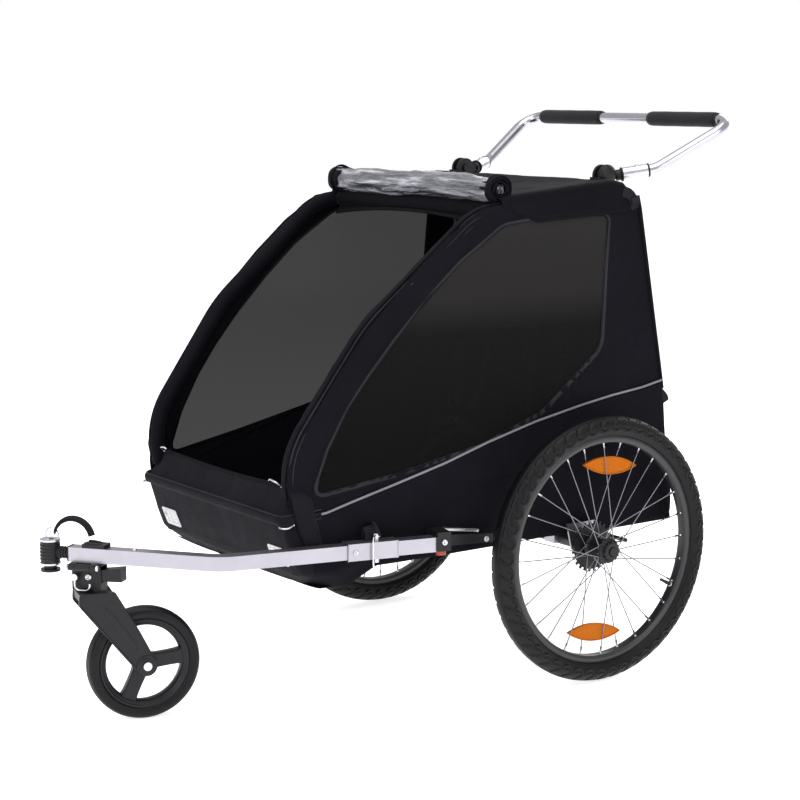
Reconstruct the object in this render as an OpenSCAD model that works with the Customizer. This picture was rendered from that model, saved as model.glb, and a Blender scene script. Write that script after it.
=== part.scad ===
// Two-seat child bicycle trailer with a tow arm, a front caster and a push handle.
// +X is the trailer's left side, +Y its rear, +Z up. The origin is on the ground under the
// middle of the whole length. Places along the length are counted from the wheel axle.

/* [Main wheels] */
// Outer diameter of the big tyres
wheel_d = 500; // [490:5:500]
// Distance between the middles of the two big tyres
track = 723; // [721:1:730]
// Width of the big tyres
tyre_w = 46; // [42:1:46]
// Spokes in each big wheel
spoke_count = 28; // [20:4:36]

/* [Cabin] */
// Half width of the cabin at its widest
cabin_half_w = 297; // [295:1:298]
// Thickness of the fabric walls
cloth_t = 3; // [2:0.5:3]
// Radius of the hoop tubes
hoop_r = 10; // [8:0.5:10]
// Radius of the rear uprights
upright_r = 6.5; // [5:0.5:6.5]

/* [Push handle] */
// Height of the push handle's crossbar
handle_h = 1030; // [1015:1:1040]
// Radius of the handle tube
handle_r = 10.5; // [9:0.5:10.5]

/* [Tow arm] */
// Height of the tow arm's middle
arm_z = 300; // [299:1:302]
// Side of the square tow arm
arm_w = 25; // [22:1:25]
// Play between the tow arm and its receiver, on each side
arm_play = 0.3; // [0.2:0.05:0.5]

/* [Caster] */
// Diameter of the front caster
caster_d = 200; // [190:5:205]
// Horizontal distance from the swivel axis to the caster's axle
caster_trail = 92; // [88:1:95]
// Angle that the caster stands at, from straight ahead
caster_turn = 14; // [0:1:20]

/* [Fits] */
// Radial clearance of a shaft that turns or slides in its bore
run_fit = 0.05; // [0.02:0.01:0.1]

/* [Hidden] */
$fn = 48;

// The axle stands this far behind the origin, so that the origin is under the middle of the length.
axle_y = 289;
wheel_r = wheel_d / 2;
wheel_x = track / 2;
rim_r = wheel_r - tyre_w * 0.8;
spoke_r = 1;

// Lower frame
rail_x = 236;
rail_z = 284;
rail_r = 11;
rail_t = 1.6;
rail_front = -577;
rear_tube_y = 204;
axle_tube_r = 12.5;
socket_end = 333;
stub_r = 6;
stub_end = 389;
button_r = 3;

// Places in the plane of the length and the height, as [along, up]
nose_pivot = [-588, 366];
rear_pivot = [rear_tube_y, rail_z];
handle_pivot = [112, 928];
upright_top = [127, 888];
front_bar = [-165, 875];
rear_bar = [98, 908];

// Outline of the lower body seen from the side
nose_line = [[-616, 394], [-618, 372], [-611, 345], [-592, 293], [-578, 258], [-562, 236], [-548, 229],
    [-515, 235], [-465, 252], [-432, 264]];
piping_line = [[-606, 362], [-540, 367], [-482, 383], [-396, 407], [-303, 432], [-208, 462], [-105, 489], [2, 510],
    [75, 522], [197, 541]];
trunk_line = [[203, 470], [216, 340], [224, 268]];
belly_line = [[66, 265], [-68, 270]];
// Half width of the lower body along its length, as [across, along]
plan_line = [[cabin_half_w - 46, -618], [cabin_half_w - 35, -550], [cabin_half_w - 17, -400],
    [cabin_half_w - 7, -250], [cabin_half_w - 2, -60], [cabin_half_w, 232]];

// Hoop: middle line of one side, as [across, along, up]
hoop_low_x = 238;
hoop_high_x = 262;
hoop_points = [[hoop_low_x, nose_pivot.x - 5, nose_pivot.y + 18], [hoop_low_x + 1, -612, 455], [250, -449, 679],
    [hoop_high_x, -225, 866], [hoop_high_x, 106, 911], [hoop_high_x, 128, 884]];
hoop_bends = [150, 300, 120, 18];
upright_x = 279;

// Push handle: middle line of its left half
pivot_x = 223;
bar_y = 360;
handle_points = [[pivot_x + 3, 146, 928], [262, 206, 939], [317, bar_y, handle_h]];
handle_dir = unit(handle_points[1] - handle_points[0]);
stem_l = 12;

// Tow arm: its middle line, and the receiver that takes its rear end
arm_front = [29, -910, arm_z];
arm_bend = [245, -738, arm_z];
arm_rear = [324, -368, arm_z];
arm_dir = unit(arm_bend - arm_front);
back_dir = unit(arm_rear - arm_bend);
arm_angle = atan2(arm_dir.y, arm_dir.x);
back_angle = atan2(back_dir.y, back_dir.x);
receiver_l = 93;
receiver_t = 2.2;
coupler_r = 17;
coupler_reach = 40;
hitch_bore_r = 5.1;

// Caster: places counted from its swivel axis
caster_at = arm_front + 32 * arm_dir;
caster_r = caster_d / 2;
stem_r = 7;
caster_bolt_r = 4;
hinge_n = 24;
hinge_z = 281;
hinge_pin_r = 3;

function unit(v) = v / norm(v);
function reverse(list) = [for (i = [len(list) - 1 : -1 : 0]) list[i]];
function neighbour(p, i) = p[max(0, min(i, len(p) - 1))];
function side_step(p, i) = unit(neighbour(p, i + 1) - neighbour(p, i - 1));
function offset_line(p, t) = [for (i = [0 : len(p) - 1]) p[i] + t * [-side_step(p, i).y, side_step(p, i).x]];
function band(p, t) = concat(p, reverse(offset_line(p, t)));
function turn_at(p, i) = acos(unit(p[i] - p[i - 1]) * unit(p[i + 1] - p[i]));
function trim_at(p, bends, i) = i == 0 || i == len(p) - 1 ? 0 : bends[i - 1] * tan(turn_at(p, i) / 2);

module from_axle() translate([0, axle_y, 0]) children();

module both_sides() {
    children();
    mirror([1, 0, 0]) children();
}

module on_side(side) mirror([side < 0 ? 1 : 0, 0, 0]) children();

// Puts the local x and y axes along two directions.
module facing(at, ex, ey) {
    ez = cross(ex, ey);
    multmatrix([[ex.x, ey.x, ez.x, at.x], [ex.y, ey.y, ez.y, at.y], [ex.z, ey.z, ez.z, at.z], [0, 0, 0, 1]])
        children();
}

// Sweeps a flat outline straight from a to b.
module straight(a, b) {
    d = unit(b - a);
    s = abs(d.z) > 0.99 ? [1, 0, 0] : unit(cross([0, 0, 1], d));
    facing(a, s, cross(d, s)) linear_extrude(norm(b - a)) children();
}

// Sweeps a flat outline round the bend at point i.
module bend(p, bends, i) {
    d = unit(p[i] - p[i - 1]);
    n = unit(cross(d, p[i + 1] - p[i]));
    c = cross(n, d);
    start = p[i] - trim_at(p, bends, i) * d;
    facing(start + bends[i - 1] * c, -c, d)
        rotate_extrude(angle = turn_at(p, i), $fn = 96) translate([bends[i - 1], 0]) children();
}

// A bent tube: straight lengths and bends, each its own solid with a hairline seam between them.
seam = 0.02;
module bent(p, bends) {
    for (i = [0 : len(p) - 2]) {
        d = unit(p[i + 1] - p[i]);
        straight(p[i] + (trim_at(p, bends, i) + seam) * d, p[i + 1] - (trim_at(p, bends, i + 1) + seam) * d)
            children();
    }
    for (i = [1 : len(p) - 2]) bend(p, bends, i) children();
}

module ring(r, wall) difference() {
    circle(r);
    circle(r - wall);
}

module rod(a, b, r) straight(a, b) circle(r);

// A cylinder along the width, centred on a place in the length and height.
module across(x0, x1, at, r) translate([x0, at.x, at.y]) rotate([0, 90, 0]) cylinder(r = r, h = x1 - x0);

// Extrudes a side outline over a stretch of the width.
module slab(x0, x1) translate([x0, 0, 0]) rotate([90, 0, 90]) linear_extrude(x1 - x0) children();

module block(low, high) translate(low) cube(high - low);

// ---- Lower frame ----

module side_rails() color("dimgray") from_axle() both_sides()
    straight([rail_x, rail_front, rail_z], [rail_x, rear_tube_y - rail_r - 0.2, rail_z]) ring(rail_r, rail_t);

seat_tube_z = rail_z + rail_r + 9.2;
module cross_tubes() color("dimgray") from_axle() {
    straight([-rail_x + rail_r + 0.2, rail_front + 12, rail_z], [rail_x - rail_r - 0.2, rail_front + 12, rail_z])
        ring(rail_r, rail_t);
    straight([-rail_x - 9, -236, seat_tube_z], [rail_x + 9, -236, seat_tube_z]) ring(9, rail_t);
    straight([-268, rear_tube_y, rail_z], [268, rear_tube_y, rail_z]) ring(rail_r, rail_t);
    both_sides() across(262, 288, rear_pivot, 5);
    both_sides() difference() {
        across(264, 268, rear_pivot, rail_r - rail_t);
        across(263, 269, rear_pivot, 5);
    }
    both_sides() nose_lugs();
}

// The pair of lugs that carries one hoop's foot, with its pin.
module nose_lugs() {
    for (x = [225, 244.5]) difference() {
        slab(x, x + 6) polygon([[-588, 300], [-571, 296], [-579, 372], [-588, 377], [-597, 372]]);
        across(x - 1, x + 7, nose_pivot, 4);
    }
    across(222, 250.9, nose_pivot, 4);
}

module axle_tube() color([0.08, 0.08, 0.09]) from_axle()
    straight([-socket_end + 3, 0, wheel_r], [socket_end - 3, 0, wheel_r]) ring(axle_tube_r, 2.5);

module axle_brackets() color("silver") from_axle() both_sides() {
    difference() {
        block([rail_x - 15, -21, wheel_r - 8], [rail_x + 15, 21, rail_z + 4]);
        across(rail_x - 16, rail_x + 16, [0, wheel_r], axle_tube_r);
        translate([rail_x, -22, rail_z]) rotate([-90, 0, 0]) cylinder(r = rail_r, h = 44);
    }
    difference() {
        slab(300, 304) polygon([[-34, 290], [34, 290], [22, 240], [10, 234], [-10, 234], [-22, 240]]);
        across(299, 305, [0, wheel_r], axle_tube_r);
        for (y = [-22, 22]) across(299, 305, [y, 278], 3.2);
    }
}

module hub_sockets() color([0.08, 0.08, 0.09]) from_axle() both_sides() difference() {
    across(306, socket_end, [0, wheel_r], 18);
    difference() {
        across(305, socket_end - 3, [0, wheel_r], axle_tube_r);
        across(304, socket_end - 2, [0, wheel_r], axle_tube_r - 2.5);
    }
    across(305, socket_end + 1, [0, wheel_r], stub_r + run_fit);
}

module stub_axles() color("silver") from_axle() both_sides() difference() {
    across(308, stub_end, [0, wheel_r], stub_r);
    across(352, stub_end + 1, [0, wheel_r], button_r + run_fit);
}

// ---- Lower body ----

module nose_panel() color([0.16, 0.15, 0.18]) from_axle()
    slab(-hoop_low_x - 10, hoop_low_x + 10) polygon(band(nose_line, cloth_t));

module nose_reflectors() color([0.85, 0.85, 0.88]) from_axle() both_sides()
    translate([169, 0, 0]) facing([0, -583.5, 271], [1, 0, 0], unit([0, -14, 35]))
        translate([0, 0, 1.7]) linear_extrude(3) square([50, 34]);

module floor_panel() color([0.08, 0.08, 0.09]) from_axle() difference() {
    linear_extrude(wheel_d) polygon([[-270, -428], [-284, -250], [-286, 218], [286, 218], [284, -250], [270, -428]]);
    difference() {
        translate([-cabin_half_w, -700, -1]) cube([cabin_half_w * 2, 1100, wheel_d + 2]);
        slab(-cabin_half_w, cabin_half_w) polygon(band([[-428, 266], [218, 266]], cloth_t));
    }
    both_sides() block([rail_x - 16, -22, 200], [rail_x + 16, 22, 300]);
}

module trunk_panel() color([0.11, 0.11, 0.13]) from_axle() {
    slab(-290, 290) polygon(band(reverse(trunk_line), cloth_t));
    slab(-268, 268) polygon(band([[202, 472], [180, 486], [150, 492]], cloth_t));
}

module tub_walls() color([0.11, 0.11, 0.13]) from_axle() both_sides() intersection() {
    linear_extrude(wheel_d * 2) polygon(band(plan_line, cloth_t));
    slab(0, cabin_half_w + 10) polygon(concat(reverse(nose_line), piping_line, trunk_line, belly_line));
}

module seat_base() color([0.12, 0.12, 0.13]) from_axle()
    slab(-230, 230) polygon([[-238, 316], [-246, 336], [-226, 352], [40, 346], [56, 334], [50, 314]]);

// ---- Tow arm ----

module receiver() color("silver") from_axle() {
    half = arm_w / 2 + arm_play;
    front = arm_rear - 154 * back_dir;
    difference() {
        straight(front, front + receiver_l * back_dir) difference() {
            square(2 * (half + receiver_t), center = true);
            square(2 * half, center = true);
        }
        pin_hole(receiver_pin_at, half + receiver_t);
    }
    straight(arm_end + 0.4 * back_dir, arm_rear + 12 * back_dir) difference() {
        square(2 * half + 0.2, center = true);
        square(2 * half - 4, center = true);
    }
}

receiver_pin_at = arm_rear - 96 * back_dir;
arm_end = arm_rear - 82 * back_dir;
pin_r = 4;

module pin_hole(at, half) translate([at.x, at.y, at.z - half - 1]) cylinder(r = pin_r + run_fit, h = 2 * half + 2);

module receiver_pin() color("silver") from_axle() {
    side = unit([back_dir.y, -back_dir.x, 0] - 0.7 * back_dir);
    at = receiver_pin_at;
    rod(at - [0, 0, 24], at + [0, 0, 22], pin_r);
    rod(at + [0, 0, 22], at + [0, 0, 28], 7);
    bent([at + [0, 0, 25] + 7 * side, at + [0, 0, 25] + 25 * side, at - [0, 0, 20] + 25 * side,
        at - [0, 0, 27] + 23 * side], [8, 4]) circle(1.6, $fn = 24);
}

module arm_clamp() color([0.07, 0.07, 0.08]) from_axle() {
    rear = arm_rear + 12.4 * back_dir;
    facing(rear, back_dir, [-back_dir.y, back_dir.x, 0]) block([0, -17, -12], [26, 24, 22]);
    slab(300, 308) polygon([[-350, 288], [-350, 322], [-316, 322], [-312, 306], [-210, 296], [-210, 280]]);
    slab(297.6, 301) translate([-222, 288]) circle(5);
}

module clamp_cap() color("firebrick") from_axle()
    translate(arm_rear + 26 * back_dir - [0, 0, 21.2]) cylinder(r = 9, h = 9);

module tow_arm() color("silver") from_axle() difference() {
    bent([arm_front, arm_bend, arm_end], [70]) difference() {
        square(arm_w, center = true);
        square(arm_w - 4, center = true);
    }
    pin_hole(receiver_pin_at, arm_w / 2);
}

coupler_at = arm_front - coupler_reach * arm_dir;
module hitch_coupler() color([0.07, 0.07, 0.08]) from_axle() difference() {
    union() {
        translate([coupler_at.x, coupler_at.y, arm_z - 19]) cylinder(r = coupler_r, h = 38);
        rod(coupler_at, arm_front + 22 * arm_dir, 9);
        translate([coupler_at.x, coupler_at.y, arm_z - 34]) cylinder(r = coupler_r, h = 4);
        translate([coupler_at.x, coupler_at.y, arm_z - 32]) cylinder(r = 11, h = 14);
    }
    translate([coupler_at.x, coupler_at.y, arm_z - 40]) cylinder(r = hitch_bore_r, h = 80);
}

module coupler_plates() color("silver") from_axle()
    for (z = [arm_z - 22.2, arm_z + 19.2]) difference() {
        translate([coupler_at.x, coupler_at.y, z]) cylinder(r = coupler_r + 1, h = 3);
        translate([coupler_at.x, coupler_at.y, z - 1]) cylinder(r = z < arm_z ? 11.2 : 6.5, h = 5);
    }

// The webbing that loops from the coupler over to the clip on the arm.
module safety_strap() color([0.06, 0.06, 0.07]) from_axle() {
    middle = arm_front + 4 * arm_dir + [0, 0, 25];
    facing(middle, arm_dir, [0, 0, 1]) rotate([0, 0, 14]) rotate_extrude(angle = 150, $fn = 96)
        translate([34, -6]) square([2.4, 12]);
}

module strap_clip() color([0.06, 0.06, 0.07]) from_axle()
    facing(arm_front + 26 * arm_dir + [0, 0, arm_w / 2], arm_dir, [-arm_dir.y, arm_dir.x, 0])
        block([0, -13, 0.2], [42, 13, 7]);

// ---- Caster ----

// Local x runs back along the arm, y to its inner side, z up from the ground under the swivel axis.
module at_caster() from_axle() translate([caster_at.x, caster_at.y, 0]) rotate([0, 0, arm_angle]) children();

// Local y runs from the swivel axis to the caster's axle.
module at_fork() from_axle() translate([caster_at.x, caster_at.y, 0]) rotate([0, 0, -caster_turn]) children();

module hinge_leaf() color([0.07, 0.07, 0.08]) at_caster() {
    block([-26, -16.5, 284], [26, 12, 287.4]);
    for (x = [-25, 14.3]) difference() {
        union() {
            block([x, -hinge_n, 278], [x + 10.7, -16, 287.4]);
            translate([x, -hinge_n, hinge_z]) rotate([0, 90, 0]) cylinder(r = 6, h = 10.7);
        }
        translate([x - 1, -hinge_n, hinge_z]) rotate([0, 90, 0]) cylinder(r = hinge_pin_r, h = 13);
    }
    translate([-26, -hinge_n, hinge_z]) rotate([0, 90, 0]) cylinder(r = hinge_pin_r, h = 52);
}

bracket_low = 239;
lever_x = 21;
lever_z = 268;
module caster_bracket() color([0.1, 0.1, 0.11]) at_caster() difference() {
    union() {
        block([-27, -10, bracket_low], [27, 17, 283.7]);
        block([-13.7, -hinge_n, 276], [13.7, -9, 281]);
        translate([-13.7, -hinge_n, hinge_z]) rotate([0, 90, 0]) cylinder(r = 6, h = 27.4);
    }
    translate([-15, -hinge_n, hinge_z]) rotate([0, 90, 0]) cylinder(r = hinge_pin_r + run_fit, h = 30);
    translate([0, 0, bracket_low - 1]) cylinder(r = stem_r + run_fit, h = 32);
    translate([-18, -11, 262]) rotate([-90, 0, 0]) cylinder(r = hinge_pin_r + run_fit, h = 30);
    block([lever_x - 7.4, -8.4, 252], [28, 14.4, 280]);
    translate([lever_x, -11, lever_z]) rotate([-90, 0, 0]) cylinder(r = 3 + run_fit, h = 30);
}

module caster_pin() color("silver") at_caster() {
    translate([-18, -16, 262]) rotate([-90, 0, 0]) cylinder(r = hinge_pin_r, h = 38);
    translate([-18, -21, 262]) rotate([-90, 0, 0]) cylinder(r = 6, h = 5);
    bent([[-18, -18.5, 262], [-18, -18.5, 240], [10, -18.5, 240], [10, -18.5, 252]], [9, 9]) circle(1.6, $fn = 24);
}

module caster_lever() color([0.13, 0.13, 0.14]) at_caster() {
    translate([0, 14, 0]) rotate([90, 0, 0]) linear_extrude(22)
        polygon([[lever_x, lever_z + 6], [64, 280], [64, 256], [30, 255], [lever_x, lever_z - 6]]);
    translate([lever_x, -8, lever_z]) rotate([-90, 0, 0]) cylinder(r = 7, h = 22);
    translate([lever_x, -9.6, lever_z]) rotate([-90, 0, 0]) cylinder(r = 3, h = 26);
}

module caster_fork() color([0.14, 0.14, 0.15]) at_fork() {
    leg = [[-22, 236], [38, 236], [80, 164], [caster_trail + 17, caster_r + 6], [caster_trail - 10, caster_r - 15],
        [-24, 216]];
    translate([0, 0, 230]) cylinder(r = stem_r, h = 38);
    block([-29, -22, 222], [29, 30, 236]);
    both_sides() difference() {
        union() {
            slab(23, 29) polygon(leg);
            across(23, 31, [caster_trail, caster_r], 18);
        }
        across(22, 32, [caster_trail, caster_r], caster_bolt_r);
    }
}

module caster_axle() color("silver") at_fork() {
    across(-33, 33, [caster_trail, caster_r], caster_bolt_r);
    both_sides() across(31.2, 36, [caster_trail, caster_r], 7.5);
}

module caster_rim() color([0.12, 0.12, 0.13]) at_fork() translate([0, caster_trail, caster_r]) rotate([0, 90, 0])
    difference() {
        union() {
            translate([0, 0, -21]) cylinder(r = 19, h = 42);
            rotate_extrude() translate([caster_r - 34, -16]) square([13, 32]);
            for (a = [0 : 120 : 240]) rotate([0, 0, a + 95]) block([12, -12, -9], [caster_r - 30, 12, 9]);
        }
        translate([0, 0, -22]) cylinder(r = caster_bolt_r + run_fit, h = 44);
    }

module caster_tyre() color([0.07, 0.07, 0.08]) at_fork() translate([0, caster_trail, caster_r]) rotate([0, 90, 0])
    rotate_extrude($fn = 96) polygon([[caster_r - 20.8, -17], [caster_r - 10, -19], [caster_r - 3, -14],
        [caster_r, -7], [caster_r, 7], [caster_r - 3, 14], [caster_r - 10, 19], [caster_r - 20.8, 17]]);

// ---- Big wheels ----

// Local z runs outwards along the axle from the middle of the tyre.
module at_wheel(side) from_axle() on_side(side) translate([wheel_x, 0, wheel_r]) rotate([0, 90, 0]) children();

module tyre(side) color([0.06, 0.06, 0.07]) at_wheel(side) rotate_extrude($fn = 128) intersection() {
    translate([wheel_r - tyre_w / 2, 0]) circle(tyre_w / 2);
    translate([rim_r + 0.2, -tyre_w]) square([wheel_r, 2 * tyre_w]);
}

module rim(side) color([0.1, 0.1, 0.11]) at_wheel(side) rotate_extrude($fn = 128)
    translate([rim_r - 14, -12]) square([14, 24]);

flange_r = 22;
module spokes(side) color("silver") at_wheel(side) for (i = [0 : spoke_count - 1]) {
    a = i * 360 / spoke_count;
    lean = i % 4 < 2 ? 50 : -50;
    z = i % 2 == 0 ? 18 : -18;
    rod([(flange_r - 3) * cos(a + lean), (flange_r - 3) * sin(a + lean), z],
        [(rim_r - 14.6) * cos(a), (rim_r - 14.6) * sin(a), z * 0.1], spoke_r, $fn = 16);
}

hub_in = 337.4 - wheel_x;
hub_out = 383 - wheel_x;
bearing_r = 14;
bearing_w = 9;
module hub(side) color([0.12, 0.12, 0.13]) at_wheel(side) difference() {
    union() {
        translate([0, 0, hub_in]) cylinder(r = 17, h = hub_out - hub_in);
        for (z = [-21.6, 19.4]) translate([0, 0, z]) cylinder(r = flange_r, h = 2.6);
        translate([0, 0, hub_out]) cylinder(r = 16, h = 11);
    }
    translate([0, 0, hub_in - 1]) cylinder(r = bearing_r, h = hub_out - hub_in - 1);
    translate([0, 0, hub_in]) cylinder(r = 9, h = 80);
}

module bearings(side) color("gainsboro") at_wheel(side) for (z = [hub_in + 0.2, hub_out - bearing_w - 3])
    difference() {
        translate([0, 0, z]) cylinder(r = bearing_r, h = bearing_w);
        translate([0, 0, z - 1]) cylinder(r = stub_r + run_fit, h = bearing_w + 2);
    }

ring_teeth = 24;
ring_in = 334.2 - wheel_x;
module brake_ring(side) color([0.06, 0.06, 0.07]) at_wheel(side) difference() {
    translate([0, 0, ring_in]) cylinder(r = 48, h = 3);
    translate([0, 0, ring_in - 1]) cylinder(r = 20, h = 5);
    for (i = [0 : ring_teeth - 1]) rotate([0, 0, i * 360 / ring_teeth])
        translate([43, 0, ring_in - 1]) block([0, -3.6, 0], [8, 3.6, 5]);
}

reflector_r = 156;
reflector_turn = -6;
module reflectors(side) color("darkorange") at_wheel(side) for (a = [reflector_turn, reflector_turn + 180]) rotate([0, 0, a])
    translate([reflector_r, 0, -2.5]) linear_extrude(5) intersection_for (s = [-1, 1])
        translate([s * 113.9, 0]) circle(130.4, $fn = 128);

module axle_button(side) color("dimgray") at_wheel(side) {
    translate([0, 0, 358 - wheel_x]) cylinder(r = button_r, h = 36);
    translate([0, 0, 392 - wheel_x]) cylinder(r = 7.5, h = 4);
}

// ---- Parking brake ----

brake_shaft = [34, 250];
module brake_pedal() color([0.07, 0.07, 0.08]) from_axle() {
    across(-120, 120, brake_shaft, 5);
    slab(-12, 12) polygon([[34, 246], [34, 254], [100, 241], [262, 239], [262, 231], [100, 233]]);
    slab(-35, 35) polygon([[262, 239], [304, 236], [304, 229], [262, 231]]);
}

// A bar under the body that pushes one pin into each brake ring.
module brake_pawls() color("gray") from_axle() {
    across(-335, 335, [84, wheel_r], 4);
    both_sides() translate([335.7, 51, wheel_r]) rotate([-90, 0, 0]) cylinder(r = 1.4, h = 34);
}

// ---- Upper frame ----

module hoops() color([0.1, 0.1, 0.12]) from_axle() both_sides() difference() {
    union() {
        bent(hoop_points, hoop_bends) ring(hoop_r, 1.6);
        across(232, 243.5, nose_pivot, 9);
        slab(232, 243.5) polygon([[-596, 366], [-580, 366], [-586, 386], [-600, 386]]);
    }
    across(230, 246, nose_pivot, 4 + run_fit);
}

module roof_crossbars() color([0.1, 0.1, 0.12]) from_axle() {
    end = hoop_high_x - hoop_r - 0.4;
    straight([-end, front_bar.x, front_bar.y], [end, front_bar.x, front_bar.y]) ring(8, 1.4);
    straight([-end, rear_bar.x, rear_bar.y], [end, rear_bar.x, rear_bar.y]) ring(8, 1.4);
}

module roof_panel() color([0.1, 0.1, 0.12]) from_axle()
    slab(-270, 270) polygon(band([[-136, 889], [-60, 900], [78, 919]], cloth_t));

module rain_roll() color([0.5, 0.5, 0.53, 0.7]) from_axle() across(-247, 247, [front_bar.x, 911], 27);

module handle_pivots() color([0.06, 0.06, 0.07]) from_axle() both_sides() {
    difference() {
        union() {
            across(pivot_x - 11, pivot_x - 5, handle_pivot, 20);
            across(pivot_x + 5, pivot_x + 11, handle_pivot, 20);
            slab(pivot_x - 11, pivot_x + 11) polygon([[86, 896], [108, 896], [108, 913], [98, 918], [97, 925], [86, 925]]);
        }
        across(pivot_x - 12, pivot_x + 12, rear_bar, 8);
        across(pivot_x - 12, pivot_x + 12, handle_pivot, 4);
    }
    across(pivot_x - 16, pivot_x + 16, handle_pivot, 4);
    for (x = [pivot_x - 16, pivot_x + 11.2]) across(x, x + 4.8, handle_pivot, 8);
}

// ---- Fabric of the upper body, which folds with the frame ----

window_line = [[-604, 366], [-540, 371], [-482, 387], [-396, 411], [-303, 436], [-208, 466], [-105, 493], [2, 514],
    [75, 526], [192, 544], [133, 868], [100, 890], [-150, 880],
    [-216, 878], [-354, 776], [-456, 674], [-525, 580], [-580, 500], [-604, 445]];
module side_windows() color([0.25, 0.24, 0.25]) from_axle() both_sides() intersection() {
    linear_extrude(wheel_d * 2) polygon(band(plan_line, cloth_t * 0.6));
    slab(0, cabin_half_w + 10) polygon(window_line);
}

module back_panel() color([0.11, 0.11, 0.13]) from_axle()
    slab(-250, 250) polygon(band([[194, 495], [178, 640], [143, 880], [130, 900]], cloth_t));

module seat_back() color([0.12, 0.12, 0.13]) from_axle()
    for (x = [-228, 5]) slab(x, x + 223) polygon([[62, 352], [82, 356], [132, 800], [112, 806]]);

// ---- Rear uprights and push handle ----

module uprights() color([0.1, 0.1, 0.12]) from_axle() both_sides() difference() {
    union() {
        straight([upright_x, rear_pivot.x, rear_pivot.y], [upright_x, upright_top.x, upright_top.y])
            ring(upright_r, 1.5);
        across(upright_x - 6, upright_x + 6, rear_pivot, 13);
    }
    across(upright_x - 10, upright_x + 10, rear_pivot, 5 + run_fit);
}

module handlebar() color([0.6, 0.6, 0.65]) from_axle() {
    start = handle_points[0] + stem_l * handle_dir;
    left = [start, handle_points[1], handle_points[2]];
    right = [for (p = reverse(left)) [-p.x, p.y, p.z]];
    bent(concat(left, right), [60, 38, 38, 60]) circle(handle_r);
}

module handle_eyes() color([0.07, 0.07, 0.08]) from_axle() both_sides() difference() {
    union() {
        across(pivot_x - 4.6, pivot_x + 4.6, handle_pivot, 14);
        slab(pivot_x - 4.6, pivot_x + 4.6) polygon([[112, 920], [150, 920], [150, 936], [112, 936]]);
        rod(handle_points[0] - 6 * handle_dir, handle_points[0] + (stem_l - 0.1) * handle_dir, handle_r);
    }
    across(pivot_x - 6, pivot_x + 6, handle_pivot, 4 + run_fit);
}

module handlebar_sleeves() color("silver") from_axle() both_sides() {
    straight(handle_points[0] + 5 * handle_dir, handle_points[0] + 56 * handle_dir) ring(handle_r + 2, 2);
}

module handlebar_grips() color([0.17, 0.17, 0.18]) from_axle() both_sides()
    straight([76, bar_y, handle_h], [264, bar_y, handle_h]) ring(handle_r + 4, 4);

side_rails();
cross_tubes();
axle_tube();
axle_brackets();
hub_sockets();
stub_axles();
nose_panel();
nose_reflectors();
floor_panel();
trunk_panel();
tub_walls();
seat_base();
receiver();
receiver_pin();
arm_clamp();
clamp_cap();
tow_arm();
hitch_coupler();
coupler_plates();
safety_strap();
strap_clip();
hinge_leaf();
caster_bracket();
caster_pin();
caster_lever();
caster_fork();
caster_axle();
caster_rim();
caster_tyre();
tyre(1);  // tyre_left
rim(1);  // rim_left
spokes(1);  // spokes_left
hub(1);  // hub_left
bearings(1);  // bearings_left
brake_ring(1);  // brake_ring_left
reflectors(1);  // reflectors_left
tyre(-1);  // tyre_right
rim(-1);  // rim_right
spokes(-1);  // spokes_right
hub(-1);  // hub_right
bearings(-1);  // bearings_right
brake_ring(-1);  // brake_ring_right
reflectors(-1);  // reflectors_right
axle_button(1);  // axle_button_left
axle_button(-1);  // axle_button_right
brake_pedal();
brake_pawls();
hoops();
roof_crossbars();
roof_panel();
rain_roll();
handle_pivots();
side_windows();
back_panel();
seat_back();
uprights();
handlebar();
handle_eyes();
handlebar_sleeves();
handlebar_grips();
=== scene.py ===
"""Looks of the child bicycle trailer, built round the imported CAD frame.

Lengths are millimetres, counted along Y from the wheel axle; at() and off() turn them into metres.
"""

import math

import bpy
from mathutils import Matrix, Vector, noise
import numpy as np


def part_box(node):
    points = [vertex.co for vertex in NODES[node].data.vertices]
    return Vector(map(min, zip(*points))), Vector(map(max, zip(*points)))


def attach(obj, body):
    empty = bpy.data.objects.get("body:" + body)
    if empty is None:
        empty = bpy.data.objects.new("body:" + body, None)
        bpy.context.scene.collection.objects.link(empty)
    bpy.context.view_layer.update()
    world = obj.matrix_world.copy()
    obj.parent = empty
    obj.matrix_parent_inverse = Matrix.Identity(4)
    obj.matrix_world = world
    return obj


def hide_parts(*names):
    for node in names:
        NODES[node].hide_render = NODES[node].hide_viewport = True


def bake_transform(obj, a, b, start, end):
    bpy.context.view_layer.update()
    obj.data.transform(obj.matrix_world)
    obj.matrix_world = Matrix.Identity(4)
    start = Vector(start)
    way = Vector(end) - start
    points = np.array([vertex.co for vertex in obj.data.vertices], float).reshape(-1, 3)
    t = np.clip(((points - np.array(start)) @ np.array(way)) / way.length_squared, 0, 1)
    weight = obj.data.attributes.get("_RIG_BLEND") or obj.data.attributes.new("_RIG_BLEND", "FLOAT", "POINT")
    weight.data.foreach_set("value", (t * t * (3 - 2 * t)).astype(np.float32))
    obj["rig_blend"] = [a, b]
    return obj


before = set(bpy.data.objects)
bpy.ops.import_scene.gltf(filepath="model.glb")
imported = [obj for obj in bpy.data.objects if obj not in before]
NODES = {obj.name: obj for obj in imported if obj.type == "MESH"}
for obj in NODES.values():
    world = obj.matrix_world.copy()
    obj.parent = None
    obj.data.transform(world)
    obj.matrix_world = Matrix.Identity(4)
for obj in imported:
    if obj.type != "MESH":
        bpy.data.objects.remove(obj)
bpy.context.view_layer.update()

MM = 0.001
LEFT, RIGHT = 1, -1
SIDES = ((LEFT, "left"), (RIGHT, "right"))
X_AXIS, Y_AXIS, UP = Vector((1, 0, 0)), Vector((0, 1, 0)), Vector((0, 0, 1))


def middle(node):
    low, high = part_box(node)
    return (low + high) / 2


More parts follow.
